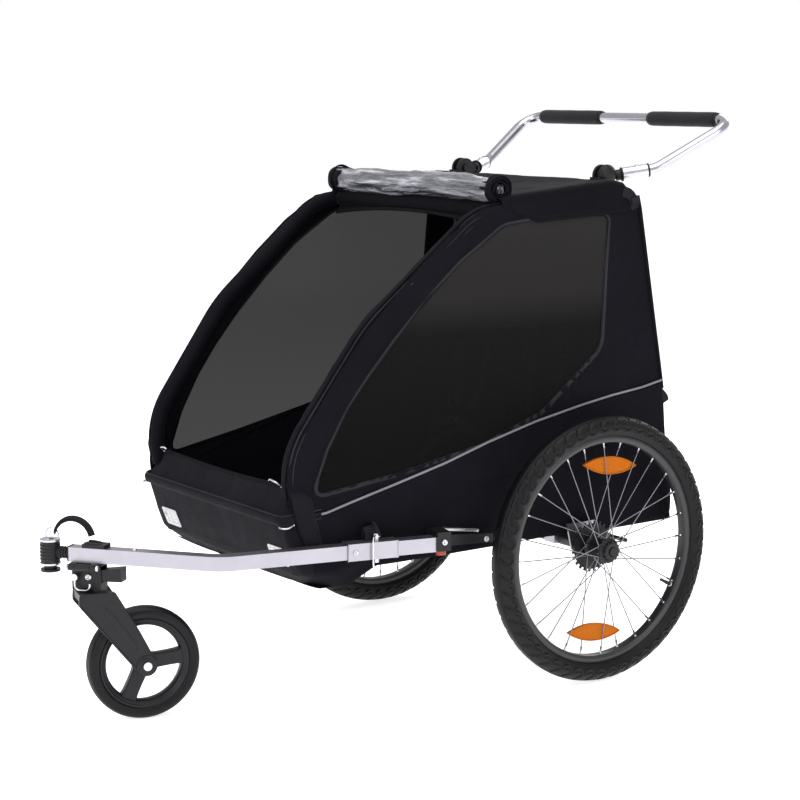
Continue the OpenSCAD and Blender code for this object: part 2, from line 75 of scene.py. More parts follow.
AXLE_Y = middle("axle_tube").y
WHEEL = middle("tyre_left") / MM


def at(x, y, z):
    """A place in the row frame, from millimetres counted from the axle."""
    return Vector((x * MM, AXLE_Y + y * MM, z * MM))


def off(x, y, z):
    """A step in the row frame, from millimetres."""
    return Vector((x * MM, y * MM, z * MM))


def outward(side):
    return Vector((side, 0, 0))


# ---------------------------------------------------------------- curves and meshes


def lerp(a, b, t):
    return a + (b - a) * t


def evenly(low, high, count):
    """count + 1 values spread from low to high."""
    return [lerp(low, high, k / count) for k in range(count + 1)]


def full_turn(count):
    """count angles spread round a circle."""
    return [math.tau * k / count for k in range(count)]


def side_line(points):
    """Points of a side view, from (y, z) pairs."""
    return [Vector((0, y, z)) for y, z in points]


def table(points, x):
    """The value at x of a line through (x, value) points."""
    if x <= points[0][0]:
        return points[0][1]
    for (x0, y0), (x1, y1) in zip(points, points[1:]):
        if x <= x1:
            return lerp(y0, y1, (x - x0) / (x1 - x0))
    return points[-1][1]


def smoothstep(t):
    t = min(1.0, max(0.0, t))
    return t * t * (3 - 2 * t)


def arch(t):
    """Half a sine wave: 0 at 0 and at 1, and 1 in the middle."""
    return math.sin(math.pi * t)


def spline(points, per):
    """A Catmull-Rom curve through the points."""
    points = [Vector(p) for p in points]
    count = len(points)
    found = []
    for i in range(count - 1):
        b, c = points[i], points[i + 1]
        a = points[i - 1] if i else b * 2 - c
        d = points[i + 2] if i + 2 < count else c * 2 - b
        for k in range(per):
            t = k / per
            found.append(0.5 * (2 * b + (c - a) * t + (2 * a - 5 * b + 4 * c - d) * t * t
                                + (3 * b - a - 3 * c + d) * t ** 3))
    found.append(points[-1].copy())
    return found


def rounded(points, radii, per=8, closed=False):
    """A line through the points with its inner corners rounded."""
    points = [Vector(p) for p in points]
    count = len(points)
    found = []
    for i, p in enumerate(points):
        inner = closed or 0 < i < count - 1
        radius = radii[i] if isinstance(radii, (list, tuple)) else radii
        if not inner or radius <= 0:
            found.append(p.copy())
            continue
        back = (points[i - 1] - p).normalized()
        ahead = (points[(i + 1) % count] - p).normalized()
        angle = back.angle(ahead)
        reach = min(radius / math.tan(angle / 2), 0.48 * (points[i - 1] - p).length,
                    0.48 * (points[(i + 1) % count] - p).length)
        start, end = p + back * reach, p + ahead * reach
        for k in range(per + 1):
            t = k / per
            found.append(start * (1 - t) ** 2 + p * 2 * t * (1 - t) + end * t * t)
    return found


def resample(points, count, closed=False):
    """count points spread evenly along a line."""
    line = list(points) + ([points[0]] if closed else [])
    lengths = [0.0]
    for a, b in zip(line, line[1:]):
        lengths.append(lengths[-1] + (b - a).length)
    found, k = [], 0
    steps = count if closed else count - 1
    for i in range(count):
        want = lengths[-1] * i / steps
        while k < len(line) - 2 and lengths[k + 1] < want:
            k += 1
        span = max(lengths[k + 1] - lengths[k], 1e-9)
        found.append(line[k].lerp(line[k + 1], min(1.0, (want - lengths[k]) / span)))
    return found


def add_mesh(name, points, faces, material, smooth=True):
    mesh = bpy.data.meshes.new(name)
    mesh.from_pydata([tuple(p) for p in points], [], faces)
    mesh.update()
    obj = bpy.data.objects.new(name, mesh)
    bpy.context.scene.collection.objects.link(obj)
    obj.data.materials.append(material)
    for polygon in obj.data.polygons:
        polygon.use_smooth = smooth
    return obj


def grid(name, rows, material, closed_rows=False, closed_cols=False):
    """A quad surface through rows of points."""
    count, width = len(rows), len(rows[0])
    points = [p for row in rows for p in row]
    faces = []
    for i in range(count if closed_cols else count - 1):
        for j in range(width if closed_rows else width - 1):
            a, b = i * width, ((i + 1) % count) * width
            k = (j + 1) % width
            faces.append((a + j, a + k, b + k, b + j))
    return add_mesh(name, points, faces, material)


def with_faces(obj, faces, extra=()):
    """The same piece with more faces, and more points if they need them."""
    name, mesh = obj.name, obj.data
    material = mesh.materials[0]
    points = [v.co.copy() for v in mesh.vertices] + list(extra)
    faces = [tuple(p.vertices) for p in mesh.polygons] + faces
    bpy.data.objects.remove(obj)
    return add_mesh(name, points, faces, material)


def frames_along(path, up, closed):
    """Tangent, side and up directions that turn as little as they can along a path."""
    count = len(path)
    tangents = []
    for i in range(count):
        if closed:
            t = path[(i + 1) % count] - path[i - 1]
        else:
            t = path[min(i + 1, count - 1)] - path[max(i - 1, 0)]
        tangents.append(t.normalized())
    first = tangents[0]
    if abs(first.dot(up)) > 0.95:
        up = X_AXIS
    side = first.cross(up).normalized()
    found = []
    for t in tangents:
        side = (side - t * side.dot(t)).normalized()
        found.append((t, side, side.cross(t).normalized()))
    return found


def sweep(name, path, outline, material, closed=False, up=UP, scale=None):
    """Sweeps a closed outline of (side, up) offsets along a path."""
    rows = []
    for i, (p, (_, side, top)) in enumerate(zip(path, frames_along(path, up, closed))):
        k = scale(i / (len(path) - 1)) if scale else 1.0
        rows.append([p + side * (x * k * MM) + top * (y * k * MM) for x, y in outline])
    obj = grid(name, rows, material, closed_rows=True, closed_cols=closed)
    if closed:
        return obj
    width = len(outline)
    last = (len(rows) - 1) * width
    obj = with_faces(obj, [tuple(range(width)), tuple(last + j for j in reversed(range(width)))])
    for polygon in obj.data.polygons[-2:]:
        polygon.use_smooth = False
    return obj


def circle(radius, sides):
    return [(radius * math.cos(a), radius * math.sin(a)) for a in full_turn(sides)]


def oblong(width, height, corner, per=4):
    """A rectangle with round corners, as an outline."""
    found = []
    for sx, sy, start in ((1, 1, 0), (-1, 1, 90), (-1, -1, 180), (1, -1, 270)):
        cx, cy = sx * (width / 2 - corner), sy * (height / 2 - corner)
        for k in range(per + 1):
            a = math.radians(start + 90 * k / per)
            found.append((cx + corner * math.cos(a), cy + corner * math.sin(a)))
    return found


def tube(name, path, radius, material, sides=24, **kw):
    return sweep(name, path, circle(radius, sides), material, **kw)


def smoothed(points, per, side=1):
    """A curve through places given in millimetres, on one side of the trailer."""
    return spline([at(side * x, y, z) for x, y, z in points], per)


def lathe(name, profile, centre, axis, material, sides=64, closed=True):
    """Turns a (radius, along) profile round an axis."""
    axis = Vector(axis).normalized()
    u = axis.orthogonal().normalized()
    v = axis.cross(u)
    rows = []
    for a in full_turn(sides):
        ray = u * math.cos(a) + v * math.sin(a)
        rows.append([centre + ray * (r * MM) + axis * (h * MM) for r, h in profile])
    return grid(name, rows, material, closed_rows=closed, closed_cols=True)


def modifier(obj, kind, **values):
    m = obj.modifiers.new(kind.lower(), kind)
    for key, value in values.items():
        setattr(m, key, value)
    return m


def thicken(obj, thickness, offset=-1.0):
    modifier(obj, "SOLIDIFY", thickness=thickness * MM, offset=offset)
    return obj


def bevel(obj, width):
    modifier(obj, "BEVEL", width=width * MM, segments=3, limit_method="ANGLE", angle_limit=math.radians(40),
             harden_normals=False)


def apply_modifiers(obj):
    """Bakes the modifiers into the mesh, as blended and squashed pieces need."""
    dg = bpy.context.evaluated_depsgraph_get()
    mesh = bpy.data.meshes.new_from_object(obj.evaluated_get(dg), preserve_all_data_layers=True, depsgraph=dg)
    obj.modifiers.clear()
    obj.data = mesh
    return obj


def join(objects, name):
    """One object out of several; their modifiers are applied first."""
    points, faces, slots, smooth, materials = [], [], [], [], []
    for obj in objects:
        apply_modifiers(obj)
        shift = len(points)
        points += [obj.matrix_world @ v.co for v in obj.data.vertices]
        for polygon in obj.data.polygons:
            faces.append(tuple(shift + k for k in polygon.vertices))
            material = obj.data.materials[polygon.material_index]
            if material not in materials:
                materials.append(material)
            slots.append(materials.index(material))
            smooth.append(polygon.use_smooth)
        bpy.data.objects.remove(obj)
    joined = add_mesh(name, points, faces, materials[0])
    for material in materials[1:]:
        joined.data.materials.append(material)
    joined.data.polygons.foreach_set("material_index", slots)
    joined.data.polygons.foreach_set("use_smooth", smooth)
    return joined


def put(obj, body, slot, *nodes):
    """Makes a piece ride on a body and hides the CAD nodes that it stands for; slot is not used."""
    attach(obj, body)
    if nodes:
        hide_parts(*nodes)
    return obj

# ---------------------------------------------------------------- materials


def new_material(name):
    material = bpy.data.materials.new(name)
    material.use_nodes = True
    tree = material.node_tree
    return material, tree, tree.nodes["Principled BSDF"]


def settings(node, **values):
    """Constant values on a node's sockets; an underscore stands for the space in a socket's name."""
    for name, value in values.items():
        node.inputs[name.replace("_", " ")].default_value = value


def mapped(tree, vector, **values):
    node = tree.nodes.new("ShaderNodeMapping")
    settings(node, **values)
    tree.links.new(vector, node.inputs["Vector"])
    return node.outputs["Vector"]


def object_coordinates(tree, direction=(0, 0, 0)):
    source = tree.nodes.new("ShaderNodeTexCoord").outputs["Object"]
    return mapped(tree, source, Rotation=[math.radians(a) for a in direction])


def noise_node(tree, scale, detail=3.0, roughness=0.55, vector=None):
    node = tree.nodes.new("ShaderNodeTexNoise")
    settings(node, Scale=scale, Detail=detail, Roughness=roughness)
    tree.links.new(vector or object_coordinates(tree), node.inputs["Vector"])
    return node.outputs["Fac"]


def cells(tree, scale, direction=(0, 0, 0), randomness=1.0, **kinds):
    """Distances in a pattern of cells."""
    node = tree.nodes.new("ShaderNodeTexVoronoi")
    for key, value in kinds.items():
        setattr(node, key, value)
    settings(node, Scale=scale, Randomness=randomness)
    tree.links.new(object_coordinates(tree, direction), node.inputs["Vector"])
    return node.outputs["Distance"]


def wave(tree, pitch, turn):
    """Bands of a pitch in millimetres."""
    node = tree.nodes.new("ShaderNodeTexWave")
    node.wave_type = "BANDS"
    node.bands_direction = "X"
    settings(node, Scale=math.tau / (20 * pitch * MM), Detail=1.0)
    tree.links.new(object_coordinates(tree, turn), node.inputs["Vector"])
    return node.outputs["Fac"]


def shaded(tree, shader, factor, stops):
    """Base colour from a ramp of (place, colour) stops."""
    node = tree.nodes.new("ShaderNodeValToRGB")
    elements = node.color_ramp.elements
    while len(elements) < len(stops):
        elements.new(0.5)
    for element, (place, colour) in zip(elements, stops):
        element.position = place
        element.color = tuple(colour) + (1.0,)
    tree.links.new(factor, node.inputs["Fac"])
    tree.links.new(node.outputs["Color"], shader.inputs["Base Color"])


def tinted(tree, shader, colour, spread, scale, detail=4.0):
    """Base colour that wanders between two shades."""
    dark = [c * (1 - spread) for c in colour]
    light = [min(1.0, c * (1 + spread)) for c in colour]
    shaded(tree, shader, noise_node(tree, scale, detail), [(0.32, dark), (0.68, light)])


def combined(tree, operation, a, b):
    node = tree.nodes.new("ShaderNodeMath")
    node.operation = operation
    for socket, value in zip(node.inputs, (a, b)):
        tree.links.new(value, socket)
    return node.outputs[0]


def bump(tree, shader, *heights):
    """Chains bump nodes: each of heights is (height socket, depth in millimetres, strength)."""
    normal = None
    for height, depth, strength in heights:
        node = tree.nodes.new("ShaderNodeBump")
        settings(node, Distance=depth * MM, Strength=strength)
        tree.links.new(height, node.inputs["Height"])
        if normal:
            tree.links.new(normal, node.inputs["Normal"])
        normal = node.outputs["Normal"]
    tree.links.new(normal, shader.inputs["Normal"])


def rough(tree, shader, low, high, scale):
    node = tree.nodes.new("ShaderNodeMapRange")
    settings(node, To_Min=low, To_Max=high)
    tree.links.new(noise_node(tree, scale, 5.0), node.inputs["Value"])
    tree.links.new(node.outputs["Result"], shader.inputs["Roughness"])


def cloth(name, colour, pitch=1.1, weave=0.16, crumple=1.6, sheen=0.02, low=0.62, high=0.82):
    """Woven cloth: crossing threads, soft creases, patchy shade."""
    material, tree, shader = new_material(name)
    tinted(tree, shader, colour, 0.16, 9.0)
    rough(tree, shader, low, high, 40.0)
    threads = combined(tree, "MULTIPLY", wave(tree, pitch, (0, 38, 45)), wave(tree, pitch, (0, 0, -45)))
    bump(tree, shader, (threads, weave, 0.75), (noise_node(tree, 28), crumple, 0.5),
         (noise_node(tree, 7, 2.0), crumple * 2.5, 0.4))
    settings(shader, Sheen_Weight=sheen, Sheen_Roughness=0.45, Sheen_Tint=(0.75, 0.75, 0.85, 1),
             Specular_IOR_Level=0.05)
    return material


def netting(name, colour, alpha, pitch):
    """Fine see-through mesh, with painted light and shade: darker low down and lighter high up, as light from
    above falls on it.
    """
    material, tree, shader = new_material(name)
    height = tree.nodes.new("ShaderNodeSeparateXYZ")
    tree.links.new(object_coordinates(tree), height.inputs["Vector"])
    # Painted shade and highlight: the base colour ramps with height, from painted shade low down to a painted
    # highlight at the top.
    shaded(tree, shader, height.outputs["Z"],
           [(z, [c * share for c in colour])
            for z, share in ((0.45, 0.3), (0.66, 0.55), (0.72, 1.5), (0.86, 1.7))])
    threads = combined(tree, "MAXIMUM", wave(tree, pitch, (0, 90, 0)), wave(tree, pitch, (0, 0, 90)))
    bump(tree, shader, (threads, 0.2, 0.5))
    settings(shader, Alpha=alpha, Roughness=0.7, Sheen_Weight=0.05, Sheen_Roughness=0.4,
             Specular_IOR_Level=0.04)
    return material


def metal(name, colour, low, high, brush=0.0, turn=(0, 0, 0), spread=0.04, metallic=1.0, grain=180.0):
    material, tree, shader = new_material(name)
    tinted(tree, shader, colour, spread, 22.0)
    rough(tree, shader, low, high, 60.0)
    settings(shader, Metallic=metallic)
    heights = [(noise_node(tree, grain, 4.0), 0.05, 0.35)]
    if brush:
        scratch = mapped(tree, object_coordinates(tree, turn), Scale=(900, 900, 12))
        heights.append((noise_node(tree, 1.0, 2.0, vector=scratch), 0.03, brush))
    bump(tree, shader, *heights)
    return material


def plastic(name, colour, low=0.34, high=0.5, specular=0.5):
    """Moulded plastic with a fine leathery grain."""
    material, tree, shader = new_material(name)
    tinted(tree, shader, colour, 0.08, 30.0)
    rough(tree, shader, low, high, 80.0)
    bump(tree, shader, (cells(tree, 900.0), 0.06, 0.5), (noise_node(tree, 60.0), 0.25, 0.25))
    settings(shader, Specular_IOR_Level=specular)
    return material


def rubber(name, colour, low, high):
    material, tree, shader = new_material(name)
    tinted(tree, shader, colour, 0.25, 18.0, 6.0)
    rough(tree, shader, low, high, 35.0)
    bump(tree, shader, (noise_node(tree, 420.0, 5.0), 0.12, 0.5), (noise_node(tree, 45.0), 0.3, 0.25))
    settings(shader, Specular_IOR_Level=0.22)
    return material


def prism(name, colour, painted_glow, pitch):
    """Reflector plastic: small moulded prisms under a gloss face, with painted light: each facet is painted
    lighter in its middle and darker at its edges, and the face has a painted glow in its own colour.
    """
    material, tree, shader = new_material(name)
    facets = cells(tree, 1 / (pitch * MM), randomness=0.15, distance="CHEBYCHEV")
    # Painted highlight and shade: each prism facet is lighter in its middle and darker towards its edges.
    shaded(tree, shader, facets,
           [(0.05, [min(1, c * 1.9) for c in colour]), (0.6, [c * 0.6 for c in colour])])
    bump(tree, shader, (facets, 0.6, 0.6))
    # Painted glow: the reflector emits its own colour, though it is no lamp.
    settings(shader, Roughness=0.16, Specular_IOR_Level=0.1, Emission_Color=tuple(colour) + (1,),
             Emission_Strength=painted_glow)
    return material


def clear_film(name):
    """Crinkled clear PVC, with painted reflections and shade: light and dark streaks along the roll in its
    base colour.
    """
    material, tree, shader = new_material(name)
    along = mapped(tree, object_coordinates(tree), Scale=(7, 62, 62))
    crinkle_and_glint_streaks = noise_node(tree, 1.0, 5.0, 0.62, along)
    # Painted reflections and shade: the streaks run from near black to pale grey in the base colour, and the
    # same streaks also shape the crinkle bump.
    shaded(tree, shader, crinkle_and_glint_streaks, [(0.36, (0.008, 0.008, 0.012)), (0.47, (0.07, 0.07, 0.09)),
                                   (0.56, (0.18, 0.18, 0.22)), (0.68, (0.6, 0.6, 0.66))])
    folds = cells(tree, 42.0, (20, 35, 10), feature="DISTANCE_TO_EDGE")
    bump(tree, shader, (crinkle_and_glint_streaks, 9, 0.7), (noise_node(tree, 26.0, 7.0, 0.7), 6, 0.6), (folds, 4, 0.4))
    settings(shader, Roughness=0.13, Alpha=0.93, Coat_Weight=1.0, Coat_Roughness=0.05, Specular_IOR_Level=0.8)
    return material


SIDE = cloth("side_cloth", (0.0050, 0.0047, 0.0074))
ROOF = cloth("roof_cloth", (0.0040, 0.0038, 0.0056), high=0.78)
NOSE = cloth("nose_cloth", (0.0090, 0.0085, 0.0115), crumple=2.4, sheen=0.03)
BOW = cloth("bow_cloth", (0.0058, 0.0058, 0.0078), pitch=0.9, weave=0.12)
LINING = cloth("lining_cloth", (0.016, 0.016, 0.017), pitch=0.9)
SEAT = cloth("seat_cloth", (0.014, 0.014, 0.0155), pitch=1.3, crumple=2.0)
COIL = cloth("zip_coil", (0.022, 0.022, 0.026), pitch=2.2, weave=0.4, low=0.4, high=0.55)
WEBBING = cloth("webbing", (0.014, 0.014, 0.017), pitch=1.7, weave=0.35, crumple=0.4, low=0.5, high=0.7)
GREY_WEBBING = cloth("harness_webbing", (0.05, 0.05, 0.055), pitch=1.7, weave=0.35, crumple=0.4)
PIPING = cloth("reflective_piping", (0.19, 0.19, 0.215), pitch=1.0, weave=0.2, crumple=0.3, low=0.35,
               high=0.5)
MESH = netting("window_net", (0.0120, 0.0112, 0.0112), 0.965, 1.6)
STEEL_BLACK = metal("black_powder_coat", (0.012, 0.012, 0.014), 0.35, 0.5, metallic=0.0, grain=420.0,
                    spread=0.15)
ALUMINIUM = metal("satin_aluminium", (0.42, 0.405, 0.45), 0.3, 0.42, brush=0.35, turn=(0, 90, -79))
ZINC = metal("zinc_steel", (0.62, 0.61, 0.65), 0.2, 0.36)
SPOKE = metal("spoke_steel", (0.20, 0.20, 0.22), 0.2, 0.34)
HANDLE = metal("polished_tube", (0.5, 0.5, 0.55), 0.16, 0.3, brush=0.25, turn=(0, 90, 0))
RIM = metal("black_rim", (0.016, 0.016, 0.018), 0.3, 0.42, metallic=0.0, grain=500.0)
PLASTIC = plastic("black_plastic", (0.0070, 0.0070, 0.0085), specular=0.3)
FORK = plastic("fork_plastic", (0.0075, 0.0075, 0.0095), 0.3, 0.44, specular=0.28)
RED = plastic("red_plastic", (0.38, 0.035, 0.025), 0.3, 0.4)
TYRE = rubber("tyre_rubber", (0.0024, 0.0024, 0.0034), 0.34, 0.5)
FOAM = cloth("foam_grip", (0.021, 0.021, 0.0225), pitch=1.4, weave=0.3, crumple=0.3, low=0.78, high=0.92,
             sheen=0.2)
# Both reflector finishes carry painted facet highlights and a painted glow.
AMBER = prism("amber_reflector", (0.36, 0.088, 0.0), 0.12, 3.0)
CLEAR = prism("white_reflector", (0.62, 0.62, 0.66), 0.10, 3.0)
FILM = clear_film("clear_pvc")

FINISHES = {
    STEEL_BLACK: ("side_rails", "cross_tubes", "axle_tube", "hub_sockets", "hoops", "roof_crossbars",
                  "uprights", "brake_pawls"),
    ALUMINIUM: ("receiver", "tow_arm", "axle_brackets"),
    ZINC: ("stub_axles", "receiver_pin", "coupler_plates", "caster_pin", "caster_axle", "handlebar_sleeves",
           "bearings_left", "bearings_right"),
    SPOKE: ("spokes_left", "spokes_right"),
    HANDLE: ("handlebar",),
    RIM: ("rim_left", "rim_right"),
    PLASTIC: ("arm_clamp", "hitch_coupler", "strap_clip", "hinge_leaf", "caster_bracket", "caster_lever",
              "hub_left", "hub_right", "brake_ring_left", "brake_ring_right", "axle_button_left",
              "axle_button_right", "brake_pedal", "handle_pivots", "handle_eyes"),
    FORK: ("caster_fork", "caster_rim"),
    RED: ("clamp_cap",),
    TYRE: ("tyre_left", "tyre_right", "caster_tyre"),
    FOAM: ("handlebar_grips",),
    AMBER: ("reflectors_left", "reflectors_right"),
    CLEAR: ("nose_reflectors",),
}
for material, names in FINISHES.items():
    for name in names:
        for entry in NODES[name].material_slots:
            entry.material = material

# Widths of the rounded edges of CAD parts.
EDGES = {2.0: ("tow_arm", "caster_fork"),
         1.8: ("handlebar_grips",),
         1.6: ("arm_clamp", "strap_clip", "handle_pivots", "reflectors_left", "reflectors_right"),
         1.4: ("hitch_coupler", "handle_eyes", "brake_pedal", "clamp_cap"),
         1.3: ("caster_bracket",),
         1.2: ("caster_lever",),
         1.0: ("hinge_leaf", "nose_reflectors"),
         0.9: ("receiver",),
         0.8: ("axle_brackets", "axle_button_left", "axle_button_right", "caster_axle"),
         0.6: ("coupler_plates",),
         0.5: ("handlebar_sleeves", "receiver_pin"),
         0.4: ("caster_pin",)}
for width, names in EDGES.items():
    for name in names:
        bevel(NODES[name], width)


def webbing(name, path, width, thick, corner, body="base", material=WEBBING, **options):
    """A flat strap along a path."""
    put(sweep(name, path, oblong(width, thick, corner, 2), material, **options), body, "webbing")


def grown(low, power=1.0):
    """A scale along a piece: low at its ends and full in its middle."""
    return lambda t: low + (1 - low) * arch(t) ** power


# ---------------------------------------------------------------- camera, light, floor

VIEW_BACK = Vector((0.8112, -0.5644, 0.1532)).normalized()
VIEW_PLACE = (3122, -2373, 1089)

camera_data = bpy.data.cameras.new("camera")
camera_data.lens = 90.36
camera_data.sensor_width = 36.0
camera_data.clip_end = 60.0
camera = bpy.data.objects.new("camera", camera_data)
bpy.context.scene.collection.objects.link(camera)
camera.location = at(*VIEW_PLACE)
camera.rotation_euler = VIEW_BACK.to_track_quat("Z", "Y").to_euler()
bpy.context.scene.camera = camera
bpy.context.scene.view_settings.view_transform = "Standard"


def area_light(name, place, aim, size, power):
    data = bpy.data.lights.new(name, "AREA")
    data.shape = "RECTANGLE"
    data.size, data.size_y = size
    data.energy = power
    obj = bpy.data.objects.new(name, data)
    obj.location = Vector(place)
    obj.rotation_euler = (Vector(place) - Vector(aim)).to_track_quat("Z", "Y").to_euler()
    bpy.context.scene.collection.objects.link(obj)


area_light("overhead_softbox", (0.4, -0.4, 3.4), (0, 0, 0.5), (3.6, 3.6), 76)
area_light("front_softbox", (1.4, -3.6, 1.9), (0, 0, 0.5), (1.6, 2.2), 36)
area_light("side_softbox", (3.8, 0.9, 1.7), (0, 0.1, 0.4), (1.4, 2.0), 28)
area_light("rear_softbox", (-1.6, 3.4, 2.4), (0, 0, 0.7), (2.0, 1.6), 45)

# The backdrop shows white, and lights the object less than it shows.
WHITE = (1, 1, 1, 1)
world = bpy.data.worlds.new("studio")
world.use_nodes = True
tree = world.node_tree
soft = tree.nodes["Background"]
settings(soft, Color=WHITE, Strength=0.62)
bright = tree.nodes.new("ShaderNodeBackground")
settings(bright, Color=WHITE)
either = tree.nodes.new("ShaderNodeMixShader")
tree.links.new(tree.nodes.new("ShaderNodeLightPath").outputs["Is Camera Ray"], either.inputs["Fac"])
tree.links.new(soft.outputs["Background"], either.inputs[1])
tree.links.new(bright.outputs["Background"], either.inputs[2])
tree.links.new(either.outputs["Shader"], tree.nodes["World Output"].inputs["Surface"])
bpy.context.scene.world = world

floor_material, _, floor_shader = new_material("studio_floor")
settings(floor_shader, Base_Color=(0.93, 0.93, 0.94, 1), Roughness=0.6, Specular_IOR_Level=0.1,
         Emission_Color=WHITE, Emission_Strength=0.72)
FLOOR_HALF, FLOOR_Z = 16.0, -0.0005
FLOOR_CORNERS = [(x * FLOOR_HALF, y * FLOOR_HALF, FLOOR_Z) for x, y in ((-1, -1), (1, -1), (1, 1), (-1, 1))]
floor = add_mesh("studio_floor", FLOOR_CORNERS, [(0, 1, 2, 3)], floor_material, smooth=False)


# ---------------------------------------------------------------- outlines of the cabin, seen from the side

NOSE_PIVOT = (-588, 366)
PIPING_LINE = [(-618, 362), (-559, 364), (-540, 366), (-482, 383), (-396, 407), (-303, 432), (-208, 462),
               (-105, 489), (2, 510), (75, 522), (149, 531), (199, 541)]
HALF_WIDTH = [(-618, 251), (-550, 262), (-400, 280), (-250, 290), (-60, 295), (240, 297)]
TOP_HALF_WIDTH = [(-618, 251), (-449, 265), (-225, 277), (-100, 281), (106, 286), (136, 287)]
FRONT_EDGE = [(-600, 372), (-606, 392), (-612, 420), (-606, 452), (-580, 505), (-526, 585), (-459, 674),
              (-356, 775), (-286, 834), (-214, 880)]
REAR_EDGE = [(197, 541), (200, 505), (192, 560), (182, 636), (160, 765), (142, 870)]
WINDOW_SILL = [(-561, 397), (-396, 424), (-220, 460), (-90, 506), (40, 606)]
WINDOW = WINDOW_SILL + [(52, 625), (60, 740), (69, 856), (-60, 858), (-168, 846), (-262, 785), (-330, 725),
                        (-400, 655), (-452, 596), (-494, 540), (-532, 474)]
WINDOW_CORNERS = [14, 200, 200, 60, 26, 60, 80, 10, 200, 60, 200, 200, 200, 200, 200, 60]


def polar(y, z):
    """Distance and direction, in degrees, from the pins at the nose that the hoops fold about."""
    back, up = y - NOSE_PIVOT[0], z - NOSE_PIVOT[1]
    return math.hypot(back, up), math.degrees(math.atan2(up, back))


def polar_table(points):
    return sorted(polar(y, z) for y, z in points)


FAN_LOW = polar_table(PIPING_LINE[1:])
FAN_HIGH = polar_table([FRONT_EDGE[1]] + FRONT_EDGE[3:] + [(-100, 900), (60, 905), (142, 880)])


def fan_weight(y, z):
    """How far a point of the folding cabin cloth turns with the hoops: 0 at the tub, 1 at the hoops."""
    radius, angle = polar(y, z)
    low, high = table(FAN_LOW, radius), table(FAN_HIGH, radius)
    return smoothstep((angle - low) / max(high - low, 4.0)) if radius > 25 else 0.5


def fan(obj, slot, *nodes, weight=fan_weight):
    """Cloth between the tub and the hoops: it opens and closes like a fan as the frame folds."""
    apply_modifiers(obj)
    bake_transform(obj, "base", "upper_frame", start=at(0, 197, 541), end=at(0, 136, 893))
    for vertex, value in zip(obj.data.vertices, obj.data.attributes["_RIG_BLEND"].data):
        value.value = weight((vertex.co.y - AXLE_Y) / MM, vertex.co.z / MM)
    if nodes:
        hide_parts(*nodes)
    return obj


def wall_x(y, z):
    """Half width of the upper cabin's side cloth at a place seen from the side."""
    low = table(PIPING_LINE, y)
    t = min(1.0, max(0.0, (z - low) / (885 - low)))
    return lerp(table(HALF_WIDTH, y), table(TOP_HALF_WIDTH, y), t ** 0.9)


def ripple(p, size, depth, seed=0.0):
    """Smooth random height in millimetres at a place; size is in millimetres."""
    return depth * noise.noise(Vector((p.x, p.y, p.z)) / (size * MM) + Vector((seed, seed * 1.7, seed * 0.3)))


def pucker(y, z):
    """Small gathers of the cloth below the window's lower edge."""
    edge = table(WINDOW_SILL + [(120, 640)], y)
    near = math.exp(-((z - edge + 12) / 22) ** 2)
    strong = 0.5 + 0.5 * smoothstep((y + 260) / 260)
    return 1.6 * near * strong * math.sin(y / 3.9 + 2.4 * math.sin(y / 17)) if z < edge else 0.0


# ---------------------------------------------------------------- upper cabin cloth


OUTER = [(-600, 373)] + PIPING_LINE[1:] + REAR_EDGE[1:] + [(60, 893), (-100, 893)] + FRONT_EDGE[:0:-1]
WINDOW_PATH = rounded(side_line(WINDOW), WINDOW_CORNERS, closed=True)


def panel(name, side, outside, inside, rings):
    """Cloth between two side outlines, on one side of the cabin."""
    rows = []
    for k in range(rings + 1):
        t = k / rings
        row = []
        for a, b in zip(outside, inside):
            y, z = lerp(a.y, b.y, t), lerp(a.z, b.z, t)
            p = at(side * wall_x(y, z), y, z)
            edge = min(t, 1 - t)
            p.x += side * (ripple(p, 95, 2.4, 3) * min(1, edge * 8) + pucker(y, z) - 1.5) * MM
            row.append(p)
        rows.append(row)
    obj = grid(name, rows, SIDE, closed_rows=True)
    if side > 0:
        obj.data.flip_normals()
    return thicken(obj, 1.2)


def paired(outside, inside, hub):
    """The two outlines cut at the same directions from the middle of the window, so that they pair up."""

    def turn(p):
        return math.atan2(p.z - hub.z, p.y - hub.y)

    def keyed(points):
        return sorted(((turn(p), p) for p in resample(points, 5000, closed=True)), key=lambda pair: pair[0])

    out_keys, in_keys = keyed(outside), keyed(inside)
    angles = [turn(p) for p in outside]
    angles += [a for a, _ in out_keys[::22]] + [a for a, _ in in_keys[::25]]
    angles = sorted(set(round(a, 4) for a in angles))
    kept = [angles[0]]
    for a in angles[1:]:
        if a - kept[-1] > 0.006:
            kept.append(a)

    def pick(keys):
        found, k = [], 0
        for a in kept:
            while k < len(keys) - 1 and keys[k][0] < a:
                k += 1
            found.append(keys[k][1])
        return found

    return pick(out_keys), pick(in_keys)


WINDOW_HUB = Vector((0, -205, 640))
OUT_LOOP, IN_LOOP = paired(side_line(OUTER), WINDOW_PATH, WINDOW_HUB)


def side_place(side, y, z, proud=0.0):
    return at(side * (wall_x(y, z) + proud), y, z)


def net(name, side, loop, hub):
    """See-through mesh that fills a window outline."""
    rows = []
    rings = 12
    for k in range(rings):
        t = k / rings
        row = []
        for p in loop:
            y, z = lerp(p.y, hub.y, t), lerp(p.z, hub.z, t)
            slack = 3.0 * math.sin(math.pi * min(1, t * 1.2) / 2)
            q = side_place(side, y, z, -2.2 - slack)
            q.x += side * ripple(q, 150, 3.0, 9) * min(1, t * 4) * MM
            row.append(q)
        rows.append(row)
    width = len(loop)
    last, centre = (rings - 1) * width, rings * width
    return with_faces(grid(name, rows, MESH, closed_rows=True),
                      [(last + j, last + (j + 1) % width, centre) for j in range(width)],
                      [side_place(side, hub.y, hub.z, -5.2)])


def hem(name, places, width, height, up=X_AXIS):
    """A flat sewn band round a window."""
    return sweep(name, places, oblong(width, height, height * 0.45, 2), COIL, closed=True, up=up)


STITCH_PITCH, STITCH_LENGTH, STITCH_WIDTH = 5.0, 3.2, 0.9


